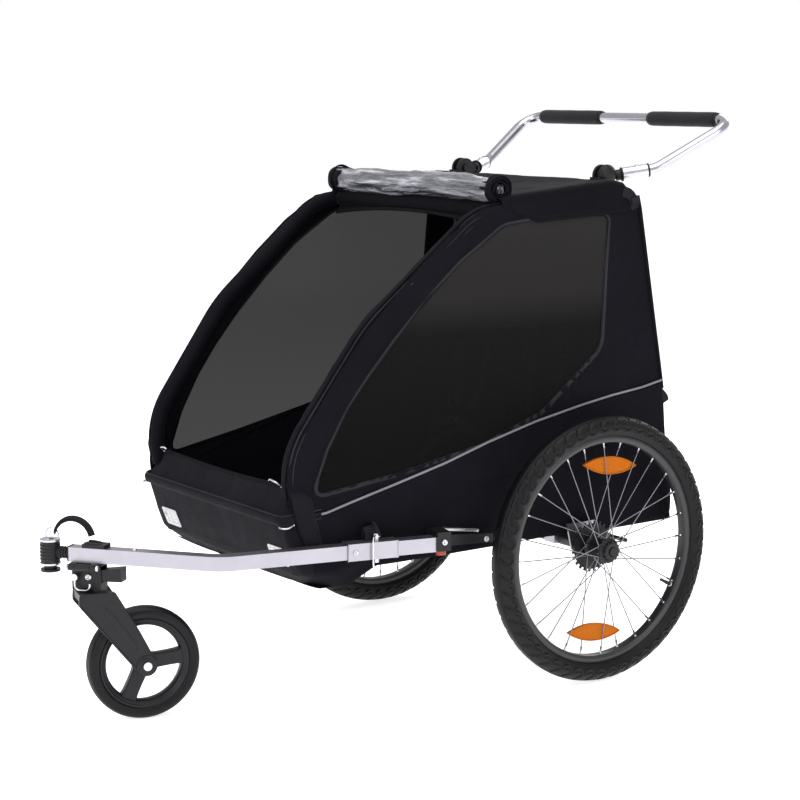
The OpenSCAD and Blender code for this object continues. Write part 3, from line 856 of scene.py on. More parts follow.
def stitches(name, places, out, closed=False):
    """A row of thread stitches along a line; out is the direction away from the cloth."""
    total = sum((b - a).length for a, b in zip(places, places[1:]))
    count = max(2, int(total / (STITCH_PITCH * MM)))
    spots = resample(places, count * 2, closed=closed)
    points, faces = [], []
    for a, b in zip(spots[::2], spots[1::2]):
        run = (b - a).normalized()
        across = run.cross(out).normalized()
        half = run * (STITCH_LENGTH / 2 * MM)
        base = len(points)
        for along, tall in ((-1, 0.0), (-0.55, 0.55), (0.55, 0.55), (1, 0.0)):
            for wide in (-1, 0, 1):
                lift = tall if wide == 0 else tall * 0.25
                points.append((a + b) / 2 + half * along + across * (wide * STITCH_WIDTH / 2 * MM)
                              + out * ((lift + 0.05) * MM))
        for v in (base, base + 1, base + 3, base + 4, base + 6, base + 7):
            faces.append((v, v + 1, v + 4, v + 3))
    return add_mesh(name, points, faces, WEBBING)


def outline_places(side, loop, proud):
    return [side_place(side, p.y, p.z, proud) for p in loop]


def scaled_loop(loop, hub, grow):
    """The outline moved outwards by grow millimetres."""
    found = []
    count = len(loop)
    for i, p in enumerate(loop):
        run = (loop[(i + 1) % count] - loop[i - 1]).normalized()
        normal = Vector((0, run.z, -run.y))
        if normal.dot(p - hub) < 0:
            normal.negate()
        found.append(p + normal * grow)
    return found


EVEN_WINDOW = resample(WINDOW_PATH, 300, closed=True)
NET_LAP, HEM_LAP, STITCH_LAP = 5.0, 3.0, 8.6

for side, word in SIDES:
    fan(panel("side_cloth_" + word, side, OUT_LOOP, IN_LOOP, 16), "side_fabric")
    window = net("window_net_" + word, side, scaled_loop(EVEN_WINDOW, WINDOW_HUB, NET_LAP), WINDOW_HUB)
    fan(window, "window_mesh", *(["side_windows"] if side > 0 else []))
    hem_line = outline_places(side, scaled_loop(EVEN_WINDOW, WINDOW_HUB, HEM_LAP), -0.6)
    fan(hem("window_hem_" + word, hem_line, 7.5, 1.4), "side_fabric")
    rim_line = outline_places(side, scaled_loop(EVEN_WINDOW, WINDOW_HUB, STITCH_LAP), 0.2)
    fan(stitches("window_stitches_" + word, rim_line, outward(side), closed=True), "side_fabric")


# ---------------------------------------------------------------- hoops and their sleeves


def arc_path(points, radii, per=14):
    """Straight lengths joined by true arcs."""
    points = [Vector(p) for p in points]
    found = [points[0]]
    for i in range(1, len(points) - 1):
        back = (points[i - 1] - points[i]).normalized()
        ahead = (points[i + 1] - points[i]).normalized()
        angle = math.pi - back.angle(ahead)
        radius = radii[i - 1]
        reach = radius * math.tan(angle / 2)
        start = points[i] + back * reach
        inward = (back + ahead).normalized()
        centre = points[i] + inward * (radius / math.cos(angle / 2))
        axis = (start - centre).cross(points[i] + ahead * reach - centre).normalized()
        for k in range(per + 1):
            turn = Matrix.Rotation(angle * k / per, 3, axis)
            found.append(centre + turn @ (start - centre))
    found.append(points[-1])
    return found


HOOP = arc_path([(238, -593, 384), (239, -612, 455), (250, -449, 679), (262, -225, 866), (262, 106, 911)],
                [150, 300, 120])
HOOP_STEPS = 399
HOOP_LINE = resample([p for p in HOOP if p.y < -150] + [Vector((262, -150, 876))], HOOP_STEPS + 1)


def hoop_places(side, offset_out=0.0, offset_up=0.0, start=0.0, end=1.0, count=90):
    """A line that follows the hoop, moved sideways (out) and away from the cabin in its plane (up)."""
    found = []
    first, last = int(start * HOOP_STEPS), int(end * HOOP_STEPS)
    for k in range(count):
        i = round(lerp(first, last, k / (count - 1)))
        run = (HOOP_LINE[min(i + 1, HOOP_STEPS)] - HOOP_LINE[max(i - 1, 0)]).normalized()
        away = Vector((0, -run.z, run.y)).normalized()
        p = HOOP_LINE[i] + Vector((offset_out, 0, 0)) + away * offset_up
        found.append(at(side * p.x, p.y, p.z))
    return found


def sleeve(name, side):
    """Cloth sleeve round a hoop, a little fuller on its outer side."""
    path = hoop_places(side, count=130)
    outline = [(13.2 * math.cos(a) * (1.04 if math.cos(a) > 0 else 1), 13.6 * math.sin(a))
               for a in full_turn(40)]
    out = outward(side)
    rows = []
    for i, p in enumerate(path):
        run = (path[min(i + 1, 129)] - path[max(i - 1, 0)]).normalized()
        away = Vector((0, -run.z, run.y)).normalized()
        row = []
        for x, y in outline:
            q = p + out * (x * MM) + away * (y * MM)
            q += (out * x + away * y).normalized() * (ripple(q, 26, 0.9, 5) + ripple(q, 75, 1.1, 7)) * MM
            row.append(q)
        rows.append(row)
    obj = grid(name, rows, SIDE, closed_rows=True)
    if side < 0:
        obj.data.flip_normals()
    return obj


for side, word in SIDES:
    put(sleeve("hoop_sleeve_" + word, side), "upper_frame", "side_fabric")
    for tag, up, out, radius in (("front", 8.5, 11.5, 1.5), ("middle", 1.5, 14.2, 1.0),
                                 ("rear", -6.5, 13.6, 1.5)):
        coil = tube("sleeve_zip_%s_%s" % (tag, word), hoop_places(side, out, up, 0.03, 0.97, 120), radius,
                    COIL, 10)
        put(coil, "upper_frame", "side_fabric")
    seam = hoop_places(side, 12.2, -10.0, 0.04, 0.96, 160)
    put(stitches("sleeve_stitches_" + word, seam, outward(side)), "upper_frame", "side_fabric")
    lip = hoop_places(side, 6.0, 12.6, 0.02, 0.98, 120)
    put(sweep("sleeve_lip_" + word, lip, oblong(3.2, 7.0, 1.3, 3), SIDE, up=X_AXIS), "upper_frame",
        "side_fabric")
    pull = hoop_places(side, 17.4, 1.5, 0.62, 0.645, 8)
    put(sweep("zip_pull_" + word, pull, oblong(7, 2.4, 1, 3), PLASTIC, up=X_AXIS), "upper_frame",
        "black_plastic")


# ---------------------------------------------------------------- tub and nose

CORNER = 42.0
NOSE_LOW = 227.0


def half_width(y):
    return table(HALF_WIDTH, y)


def tub_plan():
    """The tub's outline from above: rear left, forwards, across the nose, rear right."""
    left = [Vector((half_width(y), y, 0))
            for y in (225, 160, 80, 0, -100, -200, -300, -400, -480, -550, -585)]
    corner = [Vector((251, -620, 0)), Vector((-251, -620, 0))]
    right = [Vector((-p.x, p.y, 0)) for p in reversed(left)]
    line = rounded(left + corner + right, [0] + [300] * 10 + [CORNER, CORNER] + [300] * 10 + [0], per=10)
    return resample(line, 420)


def nose_shift(z):
    """How far back the nose lies below the bow's foremost line."""
    return table([(226, 84), (235, 64), (258, 40), (293, 25), (345, 8), (358, 2), (372, 0)], z)


def tub_top(y):
    return table([(-618, 358), (-604, 360), (-559, 364)] + PIPING_LINE[2:] + [(206, 470), (219, 340)], y)


def tub_low(y):
    return table([(-530, NOSE_LOW), (-440, 262), (-68, 270), (66, 266), (225, 268)], y)


def tub_point(p, v):
    """A place on the tub's wall: p on the plan, v from the top edge to the bottom edge."""
    y0 = p.y
    z = lerp(tub_top(y0), tub_low(y0), v)
    give = min(1.0, max(0.0, (-438 - y0) / 180))
    y = y0 + nose_shift(z) * give
    side = 1 if p.x > 0 else -1
    share = abs(p.x) / half_width(y0)
    x = p.x + side * (half_width(y) - half_width(y0)) * share
    inwards = (7.0 + 38.0 * give ** 2) * smoothstep((v - 0.72) / 0.28)
    inwards -= 2.0 * arch(v) * (1 - give)
    x -= side * inwards * min(1.0, share)
    q = at(x, y, z)
    soft = math.sin(math.pi * min(1, max(0, v))) ** 0.6
    bulge = ripple(q, 120, 3.2, 1) * soft + ripple(q, 46, 1.1, 2) * soft
    q.x += side * bulge * share * MM * (1 - 0.7 * give)
    q.y -= bulge * give * 0.5 * MM
    return q


PLAN = tub_plan()
BODY_ROWS = 34
tub = grid("tub_shell", [[tub_point(p, k / BODY_ROWS) for p in PLAN] for k in range(BODY_ROWS + 1)], SIDE)
tub.data.materials.append(NOSE)
for polygon in tub.data.polygons:
    middle_y = (polygon.center.y - AXLE_Y) / MM
    polygon.material_index = 1 if middle_y < -565 else 0
put(thicken(tub, 1.8, 1.0), "base", "side_fabric", "tub_walls", "nose_panel")

# The underside, from one bottom edge to the other.
rows = []
for q in [tub_point(p, 1.0) for p in PLAN if p.x > 0 and p.y < 222]:
    row = []
    for t in evenly(0, 1, 24):
        sag = arch(t)
        rise = ripple(Vector((q.x * (1 - 2 * t), q.y, 0)), 90, 2.0, 4) * MM * sag
        row.append(Vector((lerp(q.x, -q.x, t), q.y, q.z - 5.0 * sag * MM + rise)))
    rows.append(row)
put(thicken(grid("tub_underside", rows, LINING), 1.5), "base", "side_fabric", "floor_panel")

# The sill over the nose: it slopes back from the rolled bow seam to the edge of the opening.
BOW_SEAM = [p for p in PLAN if p.y < -545]


def sill_point(p, v):
    """From the bow seam, v = 0, to the opening's lower edge, v = 1."""
    side = 1 if p.x > 0 else -1
    frontness = smoothstep((-p.y - 560) / 50)
    z = lerp(tub_top(p.y) - 2, 409 if abs(p.x) < 225 else 404, v)
    y = p.y + 30 * v * frontness + 4 * arch(v)
    x = p.x - side * 10 * v * (abs(p.x) / 251)
    q = at(x, y, z - 5 * v * math.cos(p.x / 225 * math.pi / 2) * frontness)
    q.y -= (ripple(q, 60, 2.2, 6) + ripple(q, 24, 0.8, 8)) * arch(v) * MM
    return q


SILL = [p for p in BOW_SEAM if p.y < -560]
SILL_EDGE = [sill_point(p, 1.0) for p in SILL]
rows = [[sill_point(p, v) for p in SILL] for v in evenly(0, 1, 12)]
put(thicken(grid("sill_cloth", rows, NOSE), 1.6), "base", "nose_fabric")
put(tube("sill_binding", resample(SILL_EDGE, 120), 3.4, BOW, 12), "base", "nose_fabric")
rows = [[q + off(0, 6 * t, -150 * t) for q in SILL_EDGE] for t in evenly(0, 1, 4)]
put(thicken(grid("sill_lining", rows, LINING), 1.5), "base", "nose_fabric")

roll_path = resample([tub_point(p, 0.0) + off(0, -1, 0) for p in BOW_SEAM], 200)
put(sweep("bow_roll", roll_path, oblong(13, 15, 6, 5), NOSE,
          scale=lambda t: 0.35 + 0.65 * min(1, min(t, 1 - t) * 9)), "base", "nose_fabric")
for tag, drop, out in (("upper", 7.4, 5.0), ("lower", -7.6, 4.6)):
    line = [q + off(0, -out * 0.6, drop) for q in roll_path]
    put(tube("bow_zip_" + tag, line, 1.5, COIL, 8), "base", "nose_fabric")


def along_tub(side, rear, front, height, step):
    """A line on one side of the tub's wall; height gives how far down it runs, from 0 to 1, at y."""
    plan = [p for p in PLAN if p.x * side > 0 and front < p.y < rear]
    return [tub_point(p, height(p.y)) + step for p in plan]


# Reflective piping along the tub's top edge, two seams under it, and the hem along the bottom edge.
for side, word in SIDES:
    line = resample(along_tub(side, 199, -556, lambda y: 0.0, off(side * 2.2, 0, 0)), 220)
    put(tube("piping_" + word, line, 2.1, PIPING, 10), "base", "side_fabric")
    under = [q + off(0, 0, -8) for q in line]
    put(stitches("piping_stitches_" + word, under, outward(side)), "base", "side_fabric")
    seam = along_tub(side, 40, -470, lambda y: table([(-470, 0.62), (-250, 0.42), (40, 0.34)], y),
                     off(side * 2, 0, 0))
    edge = along_tub(side, 222, -560, lambda y: 1.0, off(side * 0.6, 0, 3))
    for name, line, count, outline, material in (("tub_seam_", seam, 140, oblong(5.0, 1.4, 0.6, 2), SIDE),
                                                 ("tub_hem_", edge, 200, oblong(10, 2.4, 1.1, 2), BOW)):
        put(sweep(name + word, resample(line, count), outline, material, up=X_AXIS), "base", "side_fabric")

# ---------------------------------------------------------------- rear of the tub

TRUNK_HALF, TRUNK_STEPS = 292, 40
TRUNK = resample(side_line([(198, 539), (202, 500), (205, 462), (210, 410), (217, 340), (225, 268)]),
                 TRUNK_STEPS + 1)


def trunk_point(x, v):
    p = TRUNK[round(v * TRUNK_STEPS)]
    q = at(x, p.y, p.z)
    soft = math.cos(x / TRUNK_HALF * math.pi / 2) ** 0.5 if abs(x) < TRUNK_HALF else 0
    q.y += (6 * soft * arch(v) + ripple(q, 110, 4.0, 11) * soft) * MM
    return q


def trunk_weight(_, z):
    """The trunk's upper edge gives way as the roof comes down on it."""
    return 0.17 * smoothstep((z - 415) / 110)


rows = [[trunk_point(x, v) for x in evenly(-295, 295, 60)] for v in evenly(0, 1, TRUNK_STEPS)]
fan(thicken(grid("trunk_cloth", rows, SIDE), 1.8), "side_fabric", "trunk_panel", weight=trunk_weight)
for side, word in SIDES:
    line = [trunk_point(side * 294, v) + off(side * 1.2, 1.5, 0) for v in evenly(0, 1, TRUNK_STEPS)]
    fan(tube("trunk_piping_" + word, line, 3.0, BOW, 10), "side_fabric", weight=trunk_weight)
top = [trunk_point(x, 0.02) + off(0, 2, 0) for x in evenly(-TRUNK_HALF, TRUNK_HALF, 60)]
fan(sweep("trunk_top_binding", top, oblong(5, 12, 2, 3), BOW), "side_fabric", weight=trunk_weight)


def trunk_flap(x, v):
    """The flap over the trunk's top, with its lower corners standing off a little."""
    q = trunk_point(x, 0.06 + 0.34 * v)
    q.y += (5 + 7 * v * v + ripple(q, 70, 2.0, 12)) * MM
    return q


rows = [[trunk_flap(x, v) for x in evenly(-270, 270, 54)] for v in evenly(0, 1, 16)]
fan(thicken(grid("trunk_flap", rows, ROOF), 1.8), "side_fabric", weight=trunk_weight)


def lengthwise(middle_place, *heights):
    """Places over and under one another."""
    return [middle_place + off(0, 0, z) for z in heights]


for x, word in ((-150, "right"), (150, "left")):
    path = [trunk_flap(x, v) + off(0, 3, 0) for v in (0.35, 0.6, 0.85, 1.0)] + \
        [trunk_point(x, v) + off(0, 9, 0) for v in (0.46, 0.55, 0.62)]
    webbing("trunk_strap_" + word, spline(path, 6), 24, 1.8, 0.8)
    path = lengthwise(trunk_point(x, 0.52) + off(0, 13, 0), 24, 10, -10, -24)
    put(sweep("trunk_buckle_" + word, path, oblong(32, 10, 4, 4), PLASTIC,
              scale=grown(0.82)), "base", "black_plastic")

# ---------------------------------------------------------------- roof

ROOF_TOP = [(-172, 894), (-150, 899), (-60, 908), (40, 917), (84, 921), (108, 916), (124, 901), (134, 878)]
ROOF_CORNER = 13.0


def roof_edge(y):
    """Half width of the roof at y."""
    return table(TOP_HALF_WIDTH, y) + 1.4


def roof_point(x, y):
    """A place on the roof: x runs unrolled across the width, and past the top it runs down the side."""
    top, half = table(ROOF_TOP, y), roof_edge(y)
    flat = half - ROOF_CORNER
    reach = abs(x)
    side = 1 if x >= 0 else -1
    if reach <= flat:
        px, pz = reach, top
    elif reach <= flat + ROOF_CORNER * math.pi / 2:
        a = (reach - flat) / ROOF_CORNER
        px, pz = flat + ROOF_CORNER * math.sin(a), top - ROOF_CORNER * (1 - math.cos(a))
    else:
        px, pz = half, top - ROOF_CORNER - (reach - flat - ROOF_CORNER * math.pi / 2)
    lengthways = math.sin(math.pi * min(1, max(0, (y + 150) / 250)))
    sag = 7.0 * math.cos(min(1, reach / flat) * math.pi / 2) * lengthways
    q = at(side * px, y, pz - sag)
    wrinkle = ripple(q, 85, 3.0, 21) + ripple(q, 34, 1.2, 22)
    q.z += wrinkle * MM * (0.8 if reach < flat else 0.3)
    q.x += side * wrinkle * 0.6 * MM * (0 if reach < flat else 1)
    return q


def roof_reach(y):
    """Unrolled half width of the roof cloth at y: it ends in the hem just over the windows."""
    hem_z = table([(-172, 886), (-140, 868), (-95, 851), (69, 860), (134, 866)], y)
    over = max(0.0, table(ROOF_TOP, y) - ROOF_CORNER - hem_z)
    return roof_edge(y) - ROOF_CORNER + ROOF_CORNER * math.pi / 2 + over


ROOF_ROWS = evenly(-172, 108, 36) + [116, 124, 130, 134]
rows = [[roof_point(x, y) for x in evenly(-roof_reach(y), roof_reach(y), 120)] for y in ROOF_ROWS]
put(thicken(grid("roof_cloth", rows, ROOF), 1.8, 1.0), "upper_frame", "roof_fabric", "roof_panel")
for side, word in SIDES:
    line = [roof_point(side * roof_reach(y), y) + off(side * 0.8, 0, 2) for y in ROOF_ROWS if y < 72]
    put(sweep("roof_hem_" + word, resample(line, 90), oblong(6, 1.4, 0.6, 2), BOW, up=X_AXIS), "upper_frame",
        "roof_fabric")
    line = [roof_point(side * (roof_reach(y) - 9), y) + off(side * 1.6, 0, 0) for y in ROOF_ROWS if y < 68]
    put(stitches("roof_stitches_" + word, resample(line, 90), outward(side)), "upper_frame", "roof_fabric")
    # Webbing tab with its loop on the roof's rear corner.
    start = roof_point(side * (roof_reach(102) - 30), 102)
    tab = [start + off(side * x, y, z) for x, y, z in ((2, 0, 8), (4, 14, 3), (3, 25, -8), (2, 31, -26))]
    loop = [tab[2] + off(side * 3, 0, 5), tab[2] + off(side * 3.4, 4, -9)]
    webbing("roof_tab_" + word, spline(tab, 6), 20, 1.8, 0.8, "upper_frame", up=X_AXIS)
    put(sweep("roof_tab_buckle_" + word, loop, oblong(18, 4, 1.6, 3), WEBBING, up=X_AXIS), "upper_frame",
        "webbing")

# Front edge of the roof: a padded band over the front crossbar, under the rolled rain cover.
rows = []
for degrees in evenly(-150, 60, 14):
    a = math.radians(degrees)
    rows.append([at(x, -165 - 15.5 * math.cos(a), 874 - 15.5 * math.sin(a) + 2.0 * math.cos(x / 248 * 1.5))
                 for x in evenly(-250, 250, 70)])
put(thicken(grid("roof_front_band", rows, ROOF), 1.6), "upper_frame", "roof_fabric")
rows = []
for t in evenly(0, 1, 11):
    y = lerp(-181, -170, t) + 5 * arch(t)
    row = [at(x, y, lerp(862, 885, t) - 16 * (1 - t) * (abs(x) / 248) ** 2) for x in evenly(-248, 248, 70)]
    for q in row:
        q.y += (ripple(q, 60, 3.0, 31) + ripple(q, 22, 1.0, 32)) * MM
    rows.append(row)
put(thicken(grid("opening_visor", rows, ROOF), 1.6), "upper_frame", "roof_fabric")
put(tube("opening_binding", resample(rows[0], 100), 3.2, BOW, 10), "upper_frame", "roof_fabric")

# ---------------------------------------------------------------- rolled rain cover

ROLL_Y, ROLL_Z, ROLL_HALF = -165.0, 911.0, 262.0


def roll_radius(x, a):
    """Radius of the crinkled roll at x along it and at angle a round it."""
    ray = Vector((0, math.cos(a), math.sin(a)))
    fold = abs(noise.noise(ray * 1.5 + Vector((x * 0.007, 4, 0)))) * 2
    crease = abs(noise.noise(ray * 3.6 + Vector((x * 0.02 + 9, 3, 0))))
    fine = noise.noise(ray * 7 + Vector((x * 0.06, 0, 5)))
    ends = 1 - 0.10 * smoothstep((abs(x) - ROLL_HALF + 30) / 30)
    return (26.4 - 5.0 * fold - 3.2 * crease + 1.0 * fine) * ends + 1.5


def roll_place(side, x, y, z):
    """A place counted from the roll's middle line."""
    return at(side * x, ROLL_Y + y, ROLL_Z + z)


rows = []
for x in evenly(-ROLL_HALF, ROLL_HALF, 180):
    lift = 2.5 * math.sin(x / 60) + 1.5 * math.sin(x / 23 + 1)
    rows.append([roll_place(1, x, roll_radius(x, a) * math.cos(a),
                            lift * 0.4 + roll_radius(x, a) * 0.94 * math.sin(a))
                 for a in full_turn(72)])
put(grid("rain_cover_roll", rows, FILM, closed_rows=True), "upper_frame", "clear_pvc", "rain_roll")
for side, word in SIDES:
    # The film's spiral shows in the middle of the roll's end, inside the turns of its cloth border.
    for name, first, last, turns, depth, material, skin, slot in (
            ("film", 2.5, 9.5, 2.0, 0, FILM, 0.8, "clear_pvc"),
            ("border", 10.5, 25.0, 2.6, 3, BOW, 2.4, "roof_fabric")):
        spiral = []
        for k in range(120):
            a = 1.2 + k / 119 * math.tau * turns
            radius = lerp(first, last, k / 119) + 0.7 * math.sin(3 * a + k * 0.05)
            spiral.append((radius * math.cos(a), radius * 0.96 * math.sin(a), 1.5 * math.sin(2.3 * a)))
        rows = [[roll_place(side, ROLL_HALF + x + give * (x > -10), y, z) for y, z, give in spiral]
                for x in (-30, -12, -4, depth)]
        put(thicken(grid("rain_cover_%s_%s" % (name, word), rows, material), skin), "upper_frame", slot)
    rows = []
    for t in evenly(0, 1, 8):
        bead = 1.6 * t ** 3
        rows.append([roll_place(side, ROLL_HALF + lerp(-11, 3, t),
                                (27.0 + 0.9 * math.sin(4 * a + 5 * t) - bead) * math.cos(a),
                                (26.2 + 0.9 * math.cos(3 * a + 4 * t) - bead) * math.sin(a))
                                for a in full_turn(60)])
    put(thicken(grid("rain_cover_edge_" + word, rows, BOW, closed_rows=True), 2.0), "upper_frame",
        "roof_fabric")

# ---------------------------------------------------------------- back of the cabin

BACK_STEPS = 60
BACK = resample(side_line([(201, 525), (193, 575), (181, 645), (162, 760), (144, 868), (138, 892)]),
                BACK_STEPS + 1)


def back_place(x, v):
    p = BACK[round(v * BACK_STEPS)]
    q = at(x * lerp(296, 288, v), p.y, p.z)
    soft = max(0.0, math.cos(x * math.pi / 2)) ** 0.6
    q.y += (5 * soft * arch(v) + ripple(q, 120, 3.5, 41) * soft) * MM
    return q


BACK_WINDOW = (0.42, 0.92, 0.8)


def back_ring(t):
    """A loop between the back's rim (t = 0) and its net window (t = 1), as (x share, height share)."""
    v0, v1, half = BACK_WINDOW
    loop = [(lerp(sx, sx * half, t), lerp(sv, v1 if sv else v0, t))
            for sx, sv in ((-1, 0), (1, 0), (1, 1), (-1, 1))]
    found = []
    for (x0, v0), (x1, v1) in zip(loop, loop[1:] + loop[:1]):
        found += [(lerp(x0, x1, t), lerp(v0, v1, t)) for t in evenly(0, 1, 64)[:-1]]
    return found


rows = [[back_place(x, v) for x, v in back_ring(t)] for t in evenly(0, 1, 10)]
fan(thicken(grid("back_cloth", rows, SIDE, closed_rows=True), 1.6), "side_fabric", "back_panel")
v0, v1, half = BACK_WINDOW
rows = [[back_place(x, v) - off(0, 2.4, 0) for x in evenly(-half - 0.015, half + 0.015, 50)]
        for v in evenly(v0 - 0.01, v1 + 0.01, 24)]
fan(grid("back_net", rows, MESH), "window_mesh")
binding = [back_place(x * 1.01, v) + off(0, 1.2, 0) for x, v in back_ring(1.0)]
fan(hem("back_hem", binding, 8, 1.6, up=Y_AXIS), "side_fabric")
for side, word in SIDES:
    line = [back_place(side, v) + off(side * 0.5, 1, 0) for v in evenly(0, 1, BACK_STEPS)]
    fan(tube("back_piping_" + word, line, 3.4, BOW, 10), "side_fabric")
    line = [back_place(side * 0.965, v) + off(0, 2.4, 0) for v in evenly(0, 1, BACK_STEPS)[2:-2]]
    fan(stitches("back_stitches_" + word, line, Y_AXIS), "side_fabric")

# ---------------------------------------------------------------- seats and harness

# The front of the seat backs at their foot and at their top, as (y, z).
SEAT_FOOT, SEAT_TOP = (62, 352), (112, 802)


def padded_slab(name, at_point, columns=28, lines=36):
    """A closed quilted pad: at_point(u, v, face) gives a place; face is +1 on the front, -1 on the back."""
    rows = []
    for v in evenly(0, 1, lines):
        row = [at_point(u, v, 1.0) for u in evenly(0, 1, columns)]
        rows.append(row + [at_point(j / columns, v, -1.0) for j in range(columns, -1, -1)])
    width = 2 * (columns + 1)
    caps = []
    for start in (0, lines * width):
        for j in range(columns):
            loop = (start + j, start + j + 1, start + width - 2 - j, start + width - 1 - j)
            caps.append(loop if start else tuple(reversed(loop)))
    return with_faces(grid(name, rows, SEAT, closed_rows=True), caps)


def pillow(u, v, channels):
    """Height of a pad's face, 0 to 1: it falls to nothing at the rim and dips at its sewn channels."""
    rim = (1 - (2 * u - 1) ** 8) * (1 - (2 * v - 1) ** 10)
    dip = 1.0
    for place in channels:
        dip -= 0.55 * math.exp(-((v - place) / 0.014) ** 2)
    return max(0.0, rim) ** 0.6 * dip


BACK_CHANNELS = (0.2, 0.4, 0.6, 0.8)


def seat_back_point(x0, x1):
    def place(u, v, face):
        y, z = lerp(SEAT_FOOT[0], SEAT_TOP[0], v), lerp(SEAT_FOOT[1], SEAT_TOP[1], v)
        puff = pillow(u, v, BACK_CHANNELS if face > 0 else ())
        sag = 6.0 * arch(v) * arch(u)
        q = at(lerp(x0, x1, u), y + (10 + sag) - face * (10 * puff + 1.0), z)
        q.y -= face * ripple(q, 55, 2.4, 51) * puff * MM
        return q
    return place


def seat_weight(_, z):
    """The seat backs tip forwards with the upper frame and stay put at their foot."""
    return smoothstep((z - 360) / 440)


def seat_fan(obj, slot, *nodes):
    fan(obj, slot, *nodes, weight=seat_weight)


for x0, x1, word in ((6, 227, "left"), (-227, -6, "right")):
    pad = padded_slab("seat_back_" + word, seat_back_point(x0, x1))
    seat_fan(pad, "seat_fabric", *(["seat_back"] if x0 > 0 else []))


def seat_pan_point(u, v, face):
    puff = pillow(u, v, (0.33, 0.66) if face > 0 else ())
    split = 1 - 0.5 * math.exp(-((u - 0.5) / 0.012) ** 2) if face > 0 else 1
    mid = lerp(331, 333, v) - 4.0 * (1 - v) ** 4
    q = at(lerp(-229, 229, u), lerp(-244, 54, v), mid + face * (15.0 * puff * split + 1.0))
    q.z += face * ripple(q, 70, 3.0, 53) * puff * MM
    return q


pan = padded_slab("seat_pan", seat_pan_point, columns=60, lines=40)
put(pan, "base", "seat_fabric", "seat_base")


def face_place(x, v, proud):
    """On the front of the seat backs."""
    return at(x, lerp(SEAT_FOOT[0], SEAT_TOP[0], v) - 4 - proud, lerp(SEAT_FOOT[1], SEAT_TOP[1], v))


STRAP = oblong(25, 1.8, 0.8, 2)
for centre, word in ((116, "left"), (-116, "right")):
    for shift, tag in ((-46, "inner"), (46, "outer")):
        line = [face_place(centre + shift * share, v, proud) for share, v, proud in
                ((0.9, 0.93, 6), (0.95, 0.8, 13), (1, 0.55, 17), (0.8, 0.34, 22), (0.35, 0.2, 34))]
        seat_fan(sweep("shoulder_strap_%s_%s" % (tag, word), spline(line, 8), STRAP, GREY_WEBBING, up=Y_AXIS),
                 "webbing")
        line = [face_place(centre + shift * share, v, proud) for share, v, proud in
                ((0.95, 0.82, 17), (1, 0.66, 21), (1, 0.5, 22))]
        seat_fan(sweep("shoulder_pad_%s_%s" % (tag, word), spline(line, 8), oblong(46, 11, 5, 4), SEAT,
                       up=Y_AXIS, scale=grown(0.86, 0.4)), "seat_fabric")
    buckle = face_place(centre, 0.17, 38)
    seat_fan(sweep("buckle_" + word, lengthwise(buckle, 26, 12, -12, -26), oblong(44, 15, 6, 4), PLASTIC,
                   up=Y_AXIS, scale=grown(0.8, 0.5)), "black_plastic")
    put(sweep("buckle_button_" + word, lengthwise(buckle + off(0, -7, 0), 8, -8), oblong(16, 4, 1.8, 3), RED,
              up=Y_AXIS), "base", "red_plastic")
    crotch = [at(centre, y, z) for y, z in ((-70, 347), (-60, 366), (-20, 392), (18, 408))]
    webbing("crotch_strap_" + word, spline(crotch, 8), 25, 1.8, 0.8, material=GREY_WEBBING)
    for side in (LEFT, RIGHT):
        lap = [at(centre + side * x, y, z) for x, y,
               z in ((104, 52, 360), (92, 22, 392), (55, 14, 414), (18, 20, 420))]
        tag = "outer" if side * centre > 0 else "inner"
        webbing("lap_strap_%s_%s" % (tag, word), spline(lap, 8), 1.8, 25, 0.8, material=GREY_WEBBING)
top_bar = [face_place(x, 0.985, -6) for x in (-229, -120, 0, 120, 229)]
seat_fan(sweep("seat_top_binding", resample(top_bar, 60), oblong(6, 16, 2.5, 3), BOW), "seat_fabric")

# ---------------------------------------------------------------- big wheels

# The tyre's outer radius, the radius of its section and how far round the section each bead lies.
TYRE_RADIUS, SECTION, LEAN = 250.0, 23.0, math.radians(146)
TREADS = 52
ACROSS, AROUND = 84, TREADS * 14


def tread_height(a, s):
    """Relief of the tyre at angle a (in pitches) and at s from -1, inner side wall, to 1, outer side wall."""
    across = abs(s)
    phase = a % 1.0
    relief = 0.7 if across < 0.16 else 0.0
    if 0.2 < across < 0.5 and 0.12 < (a + across * 1.6) % 1.0 < 0.88:
        relief += 1.0
    if across >= 0.5:
        # A row of scallops: round-topped lugs that hang down over the shoulder.
        off_middle = abs(phase - 0.5)
        depth = 0.5 + 0.23 * math.sqrt(max(0.0, 1 - (off_middle / 0.5) ** 2))
        if across < depth:
            relief += 1.25
            if across > depth - 0.045:
                relief += 0.35
        inner = 0.5 + 0.11 * math.sqrt(max(0.0, 1 - (off_middle / 0.32) ** 2))
        if off_middle < 0.32 and abs(across - inner) < 0.035:
            relief -= 0.9
    return relief * 2.5


def tyre_mesh(name, side):
    """The tyre from one bead over the tread to the other, with two rings on each side wall."""
    centre = at(side * WHEEL.x, 0, WHEEL.z)
    rows = []
    for i, a in enumerate(full_turn(AROUND)):
        row = []
        for j in range(ACROSS + 1):
            s = -1 + 2 * j / ACROSS
            lift = tread_height(TREADS * i / AROUND, s)
            if 0.8 < abs(s) < 0.84 or 0.9 < abs(s) < 0.93:
                lift += 0.5
            radius = TYRE_RADIUS - SECTION + (SECTION - 3.9 + lift) * math.cos(s * LEAN)
            along = (SECTION - 2.7 + lift) * math.sin(s * LEAN)
            row.append(centre + off(along * side, radius * math.sin(a), radius * math.cos(a)))
        rows.append(row)
    return grid(name, rows, TYRE, closed_cols=True)


def both_ways(half, middle_points=()):
    """A (radius, along) profile and its mirror image, joined by the points on the middle line."""
    return half + list(middle_points) + [(radius, -along) for radius, along in reversed(half)]


